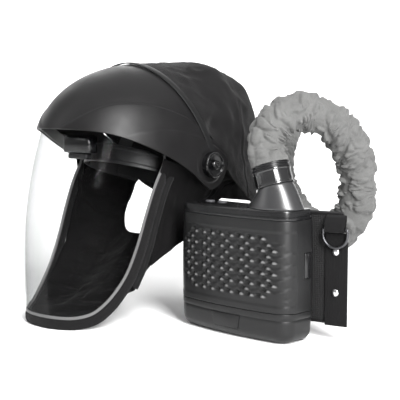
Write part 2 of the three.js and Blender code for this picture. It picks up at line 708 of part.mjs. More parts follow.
// Dome solid: an oval plan that closes to a rounded crown; grow offsets it outward.
function domeSolid(grow, columns = 32, rows = 11) {
  const sections = [];
  for (let j = 0; j < rows; j += 1) {
    const rise = j < 2 ? 0 : Math.sin((j - 1) / (rows - 1) * Math.PI / 2);
    const scale = Math.sqrt(1 - rise ** HELMET.domePower);
    const z = j === 0 ? HELMET.pivotZ - 60 : HELMET.pivotZ + (HELMET.domeHeight + grow) * rise;
    const points = [];
    for (let i = 0; i < columns; i += 1) {
      const angle = i / columns * 2 * Math.PI;
      const reach = (Math.sin(angle) < 0 ? HELMET.domeFront : HELMET.domeBack) + grow;
      points.push(new THREE.Vector3(
        (HELMET.domeHalfWidth + grow) * scale * Math.cos(angle),
        HELMET.domeY + reach * scale * Math.sin(angle),
        z,
      ));
    }
    sections.push(points);
  }
  return new LoftGeometry(sections, { capStart: true, capEnd: true });
}

// The dome's rear edge runs from the crown down to the pivot.
const archY = (z) => HELMET.pivotY * (1 - (z - HELMET.pivotZ) / HELMET.domeHeight);
const archBand = (back, front) => [
  [archY(235) - front, 235], [archY(235) + back, 235], [archY(360) + back, 360], [archY(360) - front, 360],
];

const shellSide = [
  [archY(360), 360],
  [archY(246), 246],
  ...arc(HELMET.pivotY, HELMET.pivotZ, 34, 55, -66, 10),
  [24, 177.5],
  [1, 194],
  [-32, 215],
  [-71, 233],
  [-112, 246],
  [-150, 252.5],
  [-200, 254],
  [-200, 360],
];
const boltHole = sideProfile(arc(HELMET.pivotY, HELMET.pivotZ, 4.6, 0, 330, 11), 140);
const shellSolid = common(cut(domeSolid(0), domeSolid(-HELMET.shell)), sideProfile(shellSide, 140));
addPart('brow_shell', cut(shellSolid, boltHole), plastic(0x2b2b2e, 0.6), helmet);

addPart('hood_band', common(
  cut(domeSolid(2.4), domeSolid(0.35)),
  sideProfile(archBand(0, 6), 140),
), plastic(0x77787a, 0.5), helmet);

// --------------------------------------------------------------------- visor

const visorReach = (z) => (
  VISOR.reach - (z > VISOR.reachZ ? VISOR.reachFall : VISOR.reachTuck) * (z - VISOR.reachZ) ** 2
);

// Point on the visor's plan curve; the angle is 0 at +x and -90 degrees at the front.
function visorPoint(angle, z, grow) {
  const [c, s] = [Math.cos(angle), Math.sin(angle)];
  const power = 2 / VISOR.planPower;
  return new THREE.Vector3(
    (VISOR.halfWidth + grow) * Math.sign(c) * Math.abs(c) ** power,
    VISOR.centreY + (visorReach(z) + grow) * Math.sign(s) * Math.abs(s) ** power,
    z,
  );
}

function visorBarrel(grow, columns = 34) {
  const sections = [];
  for (let z = -10; z <= 276; z += 26) {
    const points = [];
    for (let i = 0; i < columns; i += 1) points.push(visorPoint(i / columns * 2 * Math.PI, z, grow));
    sections.push(points);
  }
  return new LoftGeometry(sections, { capStart: true, capEnd: true });
}

// Rear edge of the visor in side view, from the temple down to the floor and forward.
const visorEdge = new THREE.SplineCurve([
  [-27, 236], [-30, 214], [-48, 178], [-62, 143], [-77, 101], [-93, 67],
  [-108, 46], [-122, 31], [-137, 19.5], [-156, 14.2], [-178, 14.6], [-205, 17],
].map(([y, z]) => new THREE.Vector2(y, z)));

// Offsets the rear edge away from the visor by the given distance.
function edgeLine(distance, from = 0, to = 1, steps = 16) {
  const points = [];
  for (let i = 0; i <= steps; i += 1) {
    const t = from + (to - from) * i / steps;
    const point = visorEdge.getPointAt(t);
    const tangent = visorEdge.getTangentAt(t);
    points.push([point.x - tangent.y * distance, point.y + tangent.x * distance]);
  }
  return points;
}

const visorSide = [...edgeLine(0), [-205, 262], [-150, 262], [-60, 248]];
const clearPlastic = plastic(0xf2f4f5, 0.05);
clearPlastic.transparent = true;
clearPlastic.opacity = 0.25;
addPart('visor', common(
  cut(visorBarrel(0), visorBarrel(-VISOR.thickness)),
  sideProfile(visorSide, 120),
), clearPlastic, helmet);

// Padded fabric trim round the visor's rear and lower edge.
const trimFrom = 0.13;
const trimSide = [
  ...edgeLine(0.8, trimFrom, 1),
  ...edgeLine(VISOR.trimWidth + 0.5, trimFrom, 1).reverse(),
];
addPart('visor_trim', common(
  cut(visorBarrel(1.2), visorBarrel(-3)),
  sideProfile(trimSide, 120),
), fabric(0x1a1a1b), helmet);

// Face seal: a slack fabric bib between the visor trim and the face opening.
// Its rim runs just behind the trim at the temples and tucks inside it along the bottom.
function sealRimPoint(s) {
  const low = THREE.MathUtils.smoothstep(s, 0.35, 0.75);
  const from = trimFrom + 0.03 + s * (0.83 - trimFrom);
  const [[y, z]] = edgeLine(VISOR.trimWidth + 3 - 13 * low, from, 1, 1);
  const tuck = 2 + 5 * THREE.MathUtils.smoothstep(s, 0.2, 0.45);
  const reach = visorReach(z) - tuck;
  const forward = Math.min(1, (VISOR.centreY - y) / reach);
  const side = Math.max(0, 1 - Math.max(0, forward) ** VISOR.planPower) ** (1 / VISOR.planPower);
  return new THREE.Vector3((VISOR.halfWidth - tuck) * (s < 1 ? side : 0), y, z);
}
const sealRimCurve = new THREE.CatmullRomCurve3([0, 0.15, 0.3, 0.45, 0.6, 0.75, 0.88, 1].map(sealRimPoint));
const sealFaceCurve = new THREE.CatmullRomCurve3([
  [84.5, 2, 172], [84.5, 14, 142], [83, 12, 108], [76, 4, 92], [60, -6, 86], [32, -14, 84],
  [0, -17, 84],
].map(([x, y, z]) => new THREE.Vector3(x, y, z)));

function mirroredPoint(curve, s) {
  const half = s < 0.5 ? 2 * s : 2 - 2 * s;
  const point = curve.getPoint(half);
  return s < 0.5 ? point : point.setX(-point.x);
}

function sealSurface(s, t) {
  const point = mirroredPoint(sealRimCurve, s).lerp(mirroredPoint(sealFaceCurve, s), t);
  const slack = 12 * Math.sin(Math.PI * t) * Math.sin(Math.PI * s);
  return point.add(new THREE.Vector3(0, 0, -slack));
}
addPart('face_seal', sheet(sealSurface, 2, 20, 3), fabric(0x141414), helmet);

// ---------------------------------------------------------------------- hood

// Draws a hood point onto the dome near the arch and leaves it alone farther back.
function fittedToDome(point, grow) {
  const weight = 1 - THREE.MathUtils.smoothstep(point.y, HELMET.pivotY, HELMET.pivotY + 60);
  const above = Math.max(0, point.z - HELMET.pivotZ);
  const reach = (point.y < HELMET.domeY ? HELMET.domeFront : HELMET.domeBack) + grow;
  const plan = ((point.y - HELMET.domeY) / reach) ** 2;
  const excess = (scale) => plan + (scale * point.x / (HELMET.domeHalfWidth + grow)) ** 2
    + (scale * above / (HELMET.domeHeight + grow)) ** HELMET.domePower - 1;
  let [low, high] = [0, 4];
  for (let i = 0; i < 30; i += 1) {
    const middle = (low + high) / 2;
    if (excess(middle) < 0) low = middle;
    else high = middle;
  }
  const scale = THREE.MathUtils.lerp(1, low, weight);
  const z = point.z > HELMET.pivotZ ? HELMET.pivotZ + above * scale : point.z;
  return new THREE.Vector3(point.x * scale, point.y, z);
}

// Fabric hood: a boxy bag from the arch back over the head, open below.
function hoodSolid(grow, columns = 28, rows = 9) {
  const sections = [];
  for (let j = 0; j <= rows; j += 1) {
    const rise = j < 2 ? 0 : 0.985 * Math.sin((j - 1) / (rows - 1) * Math.PI / 2);
    const scale = (1 - rise ** HOOD.power) ** (1 / HOOD.power);
    const z = j === 0 ? HOOD.baseZ - 60 : HOOD.baseZ + (HOOD.height + grow) * rise;
    const points = [];
    for (let i = 0; i < columns; i += 1) {
      const angle = i / columns * 2 * Math.PI;
      const [c, s] = [Math.cos(angle), Math.sin(angle)];
      const power = 2 / HOOD.planPower;
      const point = new THREE.Vector3(
        (HOOD.halfWidth + grow) * scale * Math.sign(c) * Math.abs(c) ** power,
        HELMET.pivotY + (HOOD.back + grow) * scale * Math.sign(s) * Math.abs(s) ** power,
        z,
      );
      points.push(fittedToDome(point, grow));
    }
    sections.push(points);
  }
  return new LoftGeometry(sections, { capStart: true, capEnd: true });
}

const hoodGap = 1.5;
const hoodSide = [
  [archY(370) + hoodGap, 370],
  [archY(246) + hoodGap, 246],
  [44, 244],
  ...arc(HELMET.pivotY, HELMET.pivotZ, 38, 40, -12, 5),
  [84, 198],
  [150, 178],
  [240, 174],
  [240, 370],
];
const elbowPort = rod(21, -40, 80, 20).rotateX(-Math.PI / 2).translate(0, 190, ELBOW.z);
addPart('hood', cut(
  common(cut(hoodSolid(0), hoodSolid(-HOOD.thickness)), sideProfile(hoodSide, 140)),
  elbowPort,
), fabric(0x1b1b1d), helmet);

// ------------------------------------------------------- air duct and pivots

// A curved duct over the crown, open at the brow, with a port at the back for the elbow.
function ductBlock(inner, outer, half, from, to) {
  const outline = [
    ...arc(HELMET.pivotY, HELMET.pivotZ, outer, from, to, 14),
    ...arc(HELMET.pivotY, HELMET.pivotZ, inner, to, from, 14),
  ];
  return sideProfile(outline, half);
}
addPart('air_duct', cut(
  ductBlock(116, 129.5, 23, -4, 146),
  ductBlock(117.6, 127.9, 21.4, -2, 150),
  rod(HOSE.spigotInner - 2, 0, 30, 24).rotateX(-Math.PI / 2).translate(0, 150, ELBOW.z),
), plastic(0x202022, 0.6), helmet);

const elbowPoints = [0, 12].map((step) => new THREE.Vector3(0, ELBOW.startY + step, ELBOW.z));
for (let i = 0; i <= 5; i += 1) elbowPoints.push(elbowPoint(ELBOW.turn * i / 5));
elbowPoints.push(along(elbowBend, elbowAxis, HOSE.spigotLength / 2));
elbowPoints.push(along(elbowBend, elbowAxis, HOSE.spigotLength));
addPart('inlet_elbow', hollowTube(
  new THREE.CatmullRomCurve3(elbowPoints), HOSE.spigotOuter, HOSE.spigotInner, 10, 16,
), blackPlastic, helmet);

// Pivot bolts and knobs at the temples.
for (const side of [-1, 1]) {
  const label = side > 0 ? 'left' : 'right';
  const at = (geometry) => (
    geometry.rotateY(side * Math.PI / 2).translate(0, HELMET.pivotY, HELMET.pivotZ)
  );
  const knobInner = HELMET.domeHalfWidth + 0.6;
  const head = rod(9, 80.2, 83, 20);
  const shank = rod(4, 82, HELMET.knobFace - 4, 16);
  addPart(`pivot_bolt_${label}`, at(join(head, shank)), metal(0x9a9a9c, 0.35), helmet);
  const knobBody = turned([
    [0, knobInner], [HELMET.knobRadius, knobInner], [HELMET.knobRadius, HELMET.knobFace - 1.4],
    [HELMET.knobRadius - 1.4, HELMET.knobFace], [HELMET.knobRadius - 4.5, HELMET.knobFace],
    [HELMET.knobRadius - 5.5, HELMET.knobFace - 2], [0, HELMET.knobFace - 2],
  ], 24);
  const knobGrip = boxBetween(-HELMET.knobRadius + 4.5, HELMET.knobRadius - 4.5, -2, 2,
    HELMET.knobFace - 3, HELMET.knobFace - 0.3);
  const knobBore = rod(4.5, knobInner - 1, HELMET.knobFace - 3.6, 16);
  const knob = cut(join(knobBody, knobGrip), knobBore);
  addPart(`pivot_knob_${label}`, at(knob), plastic(0x0e0e10, 0.12), helmet);
}

// ------------------------------------------------------------------ headgear

const headgear = new THREE.Group();
headgear.position.set(0, HEADGEAR.centreY, HEADGEAR.centreZ);
headgear.rotation.x = HEADGEAR.tilt;
helmet.add(headgear);
const strapPlastic = plastic(0x1e1e20, 0.55);

// A stretch of the oval head ring; angles are degrees from the front, positive toward +x.
function headBand(from, to, inset, thickness, z0, z1, columns) {
  const surface = (s, t) => {
    const angle = THREE.MathUtils.degToRad(from + (to - from) * s);
    const middle = inset + thickness / 2;
    return new THREE.Vector3(
      (HEADGEAR.halfWidth - middle) * Math.sin(angle),
      -(HEADGEAR.halfLength - middle) * Math.cos(angle),
      z0 + (z1 - z0) * t,
    );
  };
  return sheet(surface, thickness, columns, 1);
}

const band = HEADGEAR.bandHeight / 2;
const frontBand = headBand(-122, 122, 0, HEADGEAR.thickness, -band, band, 28);
addPart('headband_front', frontBand, strapPlastic, headgear);
const browPad = headBand(-48, 48, 2.4, 5, -band + 1, band - 1, 14);
addPart('sweatband', browPad, fabric(0x26262a), headgear);
const napeInset = HEADGEAR.thickness + 0.6;
const napeBand = headBand(98, 262, napeInset, 1.8, -band + 3, band - 3, 22);
addPart('nape_band', napeBand, strapPlastic, headgear);

const napeY = HEADGEAR.halfLength - napeInset + 0.4;
const ratchetBox = roundedBetween(-24, 24, napeY, napeY + 8, -band - 1, band + 1, 2, 1);
addPart('ratchet_housing', ratchetBox, blackPlastic, headgear);
const ratchet = turned([[0, 0], [13.5, 0], [15, 1.5], [15, 8], [13.5, 9.5], [0, 9.5]], 20);
const ratchetGrips = [];
for (let i = 0; i < 8; i += 1) {
  ratchetGrips.push(boxBetween(14, 15.8, -1.2, 1.2, 1.5, 8).rotateZ(i * Math.PI / 4));
}
const ratchetTurned = join(ratchet, ...ratchetGrips).rotateX(-Math.PI / 2);
addPart('ratchet_knob', ratchetTurned.translate(0, napeY + 8.4, 0), plastic(0x101012, 0.4), headgear);

// Crown strap: an arch over the head between the sides of the headband.
const CROWN = { inset: 8.8, y: 10, width: 24, foot: 10.6, rise: 84, thickness: 1.8 };
const crownStrap = sheet((s, t) => new THREE.Vector3(
  -(HEADGEAR.halfWidth - CROWN.inset) * Math.cos(Math.PI * s),
  CROWN.y + CROWN.width * (t - 0.5),
  CROWN.foot + CROWN.rise * Math.sin(Math.PI * s),
), CROWN.thickness, 20, 1);
addPart('crown_strap', crownStrap, strapPlastic, headgear);

// Side arms: plates from the headband to the pivots.
const pivotLocal = new THREE.Vector3(
  0,
  HELMET.pivotY - HEADGEAR.centreY,
  HELMET.pivotZ - HEADGEAR.centreZ,
).applyAxisAngle(new THREE.Vector3(1, 0, 0), -HEADGEAR.tilt);
for (const side of [-1, 1]) {
  const label = side > 0 ? 'left' : 'right';
  const outline = [
    ...arc(pivotLocal.y, pivotLocal.z, 15, -80, 110, 10),
    [-34, 11],
    [-34, -10],
  ];
  const halfPlate = 1.5;
  const plateX = side * (HEADGEAR.halfWidth + 0.5 + halfPlate);
  const plate = sideProfile(outline, halfPlate).translate(plateX, 0, 0);
  addPart(`side_arm_${label}`, plate, blackPlastic, headgear);
}

export default group;
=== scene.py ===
"""Powered air respirator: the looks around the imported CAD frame.

Shapes are worked out in millimetres, in the frame's axes (+Z up, -Y front), and become
metres when a mesh is made.  Helmet shapes use the helmet's own mid-plane as x = 0.
"""
import itertools
import math

import bmesh
import bpy
import numpy as np
from mathutils import Matrix, Vector


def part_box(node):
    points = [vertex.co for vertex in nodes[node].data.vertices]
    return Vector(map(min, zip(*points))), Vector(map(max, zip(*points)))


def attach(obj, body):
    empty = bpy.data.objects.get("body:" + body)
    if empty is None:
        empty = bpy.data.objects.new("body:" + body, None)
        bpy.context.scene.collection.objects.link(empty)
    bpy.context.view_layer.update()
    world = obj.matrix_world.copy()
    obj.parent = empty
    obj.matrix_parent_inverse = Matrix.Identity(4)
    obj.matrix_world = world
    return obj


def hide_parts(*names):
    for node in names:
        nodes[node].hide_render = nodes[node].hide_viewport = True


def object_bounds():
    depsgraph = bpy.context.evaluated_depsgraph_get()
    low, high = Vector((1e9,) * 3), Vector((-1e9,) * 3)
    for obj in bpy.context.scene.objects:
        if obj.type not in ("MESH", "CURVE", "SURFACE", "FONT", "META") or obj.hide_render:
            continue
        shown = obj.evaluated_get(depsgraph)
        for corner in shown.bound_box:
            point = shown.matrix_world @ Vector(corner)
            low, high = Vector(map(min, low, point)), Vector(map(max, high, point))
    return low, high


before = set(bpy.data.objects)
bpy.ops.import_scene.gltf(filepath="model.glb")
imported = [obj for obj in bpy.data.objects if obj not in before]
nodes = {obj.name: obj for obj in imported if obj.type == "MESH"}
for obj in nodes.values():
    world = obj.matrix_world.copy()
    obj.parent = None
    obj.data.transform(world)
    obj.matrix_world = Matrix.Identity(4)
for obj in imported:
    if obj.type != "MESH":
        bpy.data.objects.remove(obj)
cad_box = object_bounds()

MM = 0.001
DEG = math.pi / 180


def box_mm(node):
    """Lowest and highest corner of a CAD node, in millimetres."""
    return [np.array(corner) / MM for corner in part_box(node)]


# ------------------------------------------------------------------ driving sizes

WALL = 3.0
EDGE = 0.9                                   # rounding of a moulded edge
BODY_HALF = 93.9
BODY_FRONT = -40.0
FRONT_RADIUS = 470.0
CORNER_RADIUS = 22.0
BACK_RADIUS = 12.0
BACK_CORNER = 25.0
BACK_SAG = 7.0
BARREL_MID = 85.0
BARREL_INSET = 3.0
COVER_LOW, COVER_HIGH = (box_mm("filter_cover")[i][2] for i in (0, 1))
SPLIT_Y = box_mm("filter_cover")[1][1]
BATTERY_TOP = box_mm("battery_pack")[1][2]
LID_LOW, LID_TOP = (box_mm("top_lid")[i][2] for i in (0, 1))

HELMET_X = (box_mm("brow_shell")[0][0] + box_mm("brow_shell")[1][0]) / 2
PIVOT = np.array([0.0, 28.0, 208.0])
DOME_Y, DOME_HALF, DOME_FRONT, DOME_BACK = 10.0, 116.0, 172.0, 250.0
DOME_HEIGHT, DOME_POWER = 139.0, 2.35
VISOR_Y, VISOR_HALF, VISOR_REACH, VISOR_PLAN = -29.0, 89.0, 149.0, 2.3
HOOD_HALF, HOOD_BACK, HOOD_PLAN, HOOD_POWER = 112.0, 165.0, 2.5, 3.4
HOOD_BASE, HOOD_HEIGHT = 200.0, 157.0
ARCH_LOW, ARCH_TOP = 44.0, -16.0
HOSE_OUTER, HOSE_INNER = 24.5, 21.4

rng = np.random.default_rng(7)


# ------------------------------------------------------------------ number helpers

def smooth(value, low, high):
    t = np.clip((np.asarray(value, float) - low) / (high - low), 0, 1)
    return t * t * (3 - 2 * t)


def unit(vectors):
    length = np.linalg.norm(vectors, axis=-1, keepdims=True)
    return vectors / np.maximum(length, 1e-9)


def value_noise(points, seed=0):
    """Smooth noise from -1 to 1 on points whose unit is one noise cell."""
    cell = np.floor(points).astype(np.int64)
    part = points - cell
    part = part * part * (3 - 2 * part)
    total = np.zeros(points.shape[:-1])
    for corner in itertools.product((0, 1), repeat=3):
        c = cell + np.array(corner)
        key = (c[..., 0] * 374761393 + c[..., 1] * 668265263 + c[..., 2] * 1442695041 + seed * 97) & 0xFFFFFFFF
        key = ((key ^ (key >> 13)) * 1274126177) & 0xFFFFFFFF
        value = ((key ^ (key >> 16)) & 0xFFFF) / 32767.5 - 1
        weight = np.prod(np.where(np.array(corner), part, 1 - part), axis=-1)
        total = total + value * weight
    return total


def fractal(points, octaves=3, seed=0):
    total, amount = 0.0, 1.0
    for i in range(octaves):
        total = total + amount * value_noise(points * 2 ** i, seed + 31 * i)
        amount *= 0.5
    return total / 1.75


def arc_points(cx, cy, radius, start, end, count):
    angle = np.linspace(start, end, count) * DEG
    return np.stack([cx + radius * np.cos(angle), cy + radius * np.sin(angle)], -1)


def resample(line, count):
    """The same polyline with evenly spaced points."""
    line = np.asarray(line, float)
    run = np.concatenate([[0], np.cumsum(np.linalg.norm(np.diff(line, axis=0), axis=1))])
    at = np.linspace(0, run[-1], count)
    return np.stack([np.interp(at, run, line[:, k]) for k in range(line.shape[1])], -1)


def curve_through(points, count):
    """Centripetal Catmull-Rom curve through the points, evenly sampled."""
    p = np.asarray(points, float)
    p = np.vstack([2 * p[0] - p[1], p, 2 * p[-1] - p[-2]])
    pieces = []
    t = np.linspace(0, 1, 24)[:, None]
    for a, b, c, d in zip(p, p[1:], p[2:], p[3:]):
        d0, d1, d2 = (math.sqrt(max(np.linalg.norm(v), 1e-6)) for v in (b - a, c - b, d - c))
        m1 = ((b - a) / d0 - (c - a) / (d0 + d1) + (c - b) / d1) * d1
        m2 = ((c - b) / d1 - (d - b) / (d1 + d2) + (d - c) / d2) * d1
        pieces.append((2 * t**3 - 3 * t**2 + 1) * b + (t**3 - 2 * t**2 + t) * m1
                      + (3 * t**2 - 2 * t**3) * c + (t**3 - t**2) * m2)
    return resample(np.vstack(pieces), count)


def carried_frames(path, first):
    """Tangents and two cross axes carried along a path without twist."""
    tangent = unit(np.gradient(path, axis=0))
    across = np.zeros_like(path)
    vector = first - tangent[0] * np.dot(first, tangent[0])
    for i, along in enumerate(tangent):
        vector = vector - along * np.dot(vector, along)
        vector = vector / np.linalg.norm(vector)
        across[i] = vector
    return tangent, across, np.cross(tangent, across)


# ------------------------------------------------------------------ mesh helpers

def grid_faces(rows, columns, start, wrap=False, flip=False):
    """Quads of a rows x columns grid of vertices; wrap closes it along the rows."""
    index = start + np.arange(rows * columns).reshape(rows, columns)
    if wrap:
        index = np.vstack([index, index[:1]])
    a, b, c, d = index[:-1, :-1], index[1:, :-1], index[1:, 1:], index[:-1, 1:]
    quads = np.stack([a, b, c, d], -1).reshape(-1, 4)
    return (quads[:, ::-1] if flip else quads).tolist()


def rim_loops(rows, columns, wrap):
    """Index pairs (edge vertex, inner neighbour) round each open border of a grid."""
    index = np.arange(rows * columns).reshape(rows, columns)
    if wrap:
        return [(index[:, 0], index[:, 1], True), (index[::-1, -1], index[::-1, -2], True)]
    edge = np.concatenate([index[:-1, 0], index[-1, :-1], index[:0:-1, -1], index[0, :0:-1]])
    inner = np.concatenate([index[:-1, 1], index[-2, :-1], index[:0:-1, -2], index[1, :0:-1]])
    return [(edge, inner, True)]


def make(name, verts, faces, material, body, weave=None, sharp=38, close=2e-5):
    """A piece from millimetre vertices and faces, riding on a body."""
    mesh = bpy.data.meshes.new(name)
    mesh.from_pydata((np.asarray(verts) * MM).tolist(), [], faces)
    if weave is not None:
        layer = mesh.attributes.new("weave", "FLOAT_VECTOR", "POINT")
        layer.data.foreach_set("vector", np.asarray(weave, np.float32).ravel())
    shape = bmesh.new()
    shape.from_mesh(mesh)
    bmesh.ops.remove_doubles(shape, verts=shape.verts, dist=close)
    bmesh.ops.dissolve_degenerate(shape, edges=shape.edges, dist=1e-6)
    bmesh.ops.recalc_face_normals(shape, faces=shape.faces)
    if shape.calc_volume(signed=True) < 0:
        bmesh.ops.reverse_faces(shape, faces=shape.faces)
    shape.to_mesh(mesh)
    shape.free()
    mesh.polygons.foreach_set("use_smooth", [True] * len(mesh.polygons))
    mesh.set_sharp_from_angle(angle=sharp * DEG)
    mesh.materials.append(material)
    piece = bpy.data.objects.new(name, mesh)
    bpy.context.scene.collection.objects.link(piece)
    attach(piece, body)
    return piece


def sheet_mesh(outer, inner, wrap=False, bulge=0.3):
    """Vertices, faces and weave coordinates of a closed sheet between two grids."""
    rows, columns = outer.shape[:2]
    count = rows * columns
    verts = [outer.reshape(-1, 3), inner.reshape(-1, 3)]
    faces = grid_faces(rows, columns, 0, wrap) + grid_faces(rows, columns, count, wrap, True)
    along = np.cumsum(np.linalg.norm(np.diff(outer, axis=0, prepend=outer[:1]), axis=2).mean(1))
    across = np.cumsum(np.linalg.norm(np.diff(outer, axis=1, prepend=outer[:, :1]), axis=2), axis=1)
    weave = np.stack([np.broadcast_to(along[:, None], (rows, columns)), across, np.zeros((rows, columns))], -1)
    weave = weave.reshape(-1, 3)
    weaves = [weave, weave]
    start = 2 * count
    for edge, neighbour, _ in rim_loops(rows, columns, wrap):
        top, bottom = verts[0][edge], verts[1][edge]
        outward = unit(top - verts[0][neighbour] + bottom - verts[1][neighbour])
        thick = np.linalg.norm(top - bottom, axis=1, keepdims=True)
        verts.append((top + bottom) / 2 + outward * thick * bulge)
        weaves.append(weave[edge])
        middle = start + np.arange(len(edge))
        for upper, lower in ((edge, middle), (middle, edge + count)):
            ring = np.stack([upper, lower, np.roll(lower, -1), np.roll(upper, -1)], -1)
            faces += ring.tolist()
        start += len(edge)
    return np.vstack(verts), faces, np.vstack(weaves)


def sheet_piece(name, outer, inner, material, body, wrap=False, bulge=0.3, sharp=38):
    verts, faces, weave = sheet_mesh(outer, inner, wrap, bulge)
    return make(name, verts, faces, material, body, weave, sharp)


def loft_piece(name, rings, material, body, sharp=38):
    """A solid through closed rings, with flat ends."""
    rings = np.asarray(rings)
    count, sides = rings.shape[:2]
    faces = grid_faces(sides, count, 0, wrap=True)
    verts = rings.transpose(1, 0, 2).reshape(-1, 3)
    faces.append([i * count for i in range(sides)][::-1])
    faces.append([i * count + count - 1 for i in range(sides)])
    return make(name, verts, faces, material, body, verts, sharp)


def turned_points(profile, origin, axis, sides, change=None):
    """A closed [radius, height] profile swept round an axis; change(angle, profile) may bend it."""
    axis = unit(np.asarray(axis, float))
    side = unit(np.cross(axis, [0.0, 1.0, 0.0])) if abs(axis[1]) < 0.9 else unit(np.cross(axis, [0.0, 0.0, 1.0]))
    other = np.cross(axis, side)
    rows = []
    for i in range(sides):
        angle = 2 * math.pi * i / sides
        p = profile if change is None else change(angle, profile.copy())
        ray = side * math.cos(angle) + other * math.sin(angle)
        rows.append(origin + p[:, :1] * ray + p[:, 1:] * axis)
    return np.array(rows)


def turned_piece(name, profile, origin, axis, material, body, sides=96, change=None, sharp=38):
    """A ring-shaped or solid piece turned round an axis from a closed profile."""
    profile = np.asarray(profile, float)
    closed = np.vstack([profile, profile[:1]])
    points = turned_points(closed, np.asarray(origin, float), axis, sides, change)
    faces = grid_faces(sides, len(closed), 0, wrap=True)
    flat = points.reshape(-1, 3)
    return make(name, flat, faces, material, body, flat, sharp)


def rounded_loop(corners, radius, steps=4):
    """A closed profile with its corners rounded."""
    corners = np.asarray(corners, float)
    points = []
    for before, corner, after in zip(np.roll(corners, 1, 0), corners, np.roll(corners, -1, 0)):
        a, b = before - corner, after - corner
        reach = min(radius, 0.45 * np.linalg.norm(a), 0.45 * np.linalg.norm(b))
        start, end = corner + unit(a) * reach, corner + unit(b) * reach
        for i in range(steps + 1):
            t = i / steps
            points.append((1 - t) ** 2 * start + 2 * t * (1 - t) * corner + t**2 * end)
    return np.array(points)


def prism(outline, direction, low, high):
    """Vertices and faces of a prism; the outline's two coordinates are the other two axes."""
    outline = np.asarray(outline, float)
    count = len(outline)
    place = {"x": (1, 2, 0), "y": (0, 2, 1), "z": (0, 1, 2)}[direction]
    verts = np.zeros((2 * count, 3))
    for k, level in enumerate((low, high)):
        verts[k * count:(k + 1) * count, place[0]] = outline[:, 0]
        verts[k * count:(k + 1) * count, place[1]] = outline[:, 1]
        verts[k * count:(k + 1) * count, place[2]] = level
    faces = [list(range(count))[::-1], list(range(count, 2 * count))]
    for i in range(count):
        j = (i + 1) % count
        faces.append([i, j, count + j, count + i])
    return verts, faces


def apply_step(piece, step):
    """Replaces a piece's mesh by its evaluated one and drops the modifier."""
    graph = bpy.context.evaluated_depsgraph_get()
    made = bpy.data.meshes.new_from_object(piece.evaluated_get(graph))
    piece.modifiers.remove(step)
    piece.data = made


def carve(piece, verts, faces):
    """Cuts a millimetre solid out of a piece."""
    mesh = bpy.data.meshes.new("cutter")
    mesh.from_pydata((np.asarray(verts) * MM).tolist(), [], faces)
    shape = bmesh.new()
    shape.from_mesh(mesh)
    bmesh.ops.recalc_face_normals(shape, faces=shape.faces)
    shape.to_mesh(mesh)
    shape.free()
    cutter = bpy.data.objects.new("cutter", mesh)
    bpy.context.scene.collection.objects.link(cutter)
    step = piece.modifiers.new("cut", "BOOLEAN")
    step.operation = "DIFFERENCE"
    step.solver = "EXACT"
    step.object = cutter
    apply_step(piece, step)
    bpy.data.objects.remove(cutter)
    piece.data.polygons.foreach_set("use_smooth", [True] * len(piece.data.polygons))
    piece.data.set_sharp_from_angle(angle=38 * DEG)


# ------------------------------------------------------------------ materials

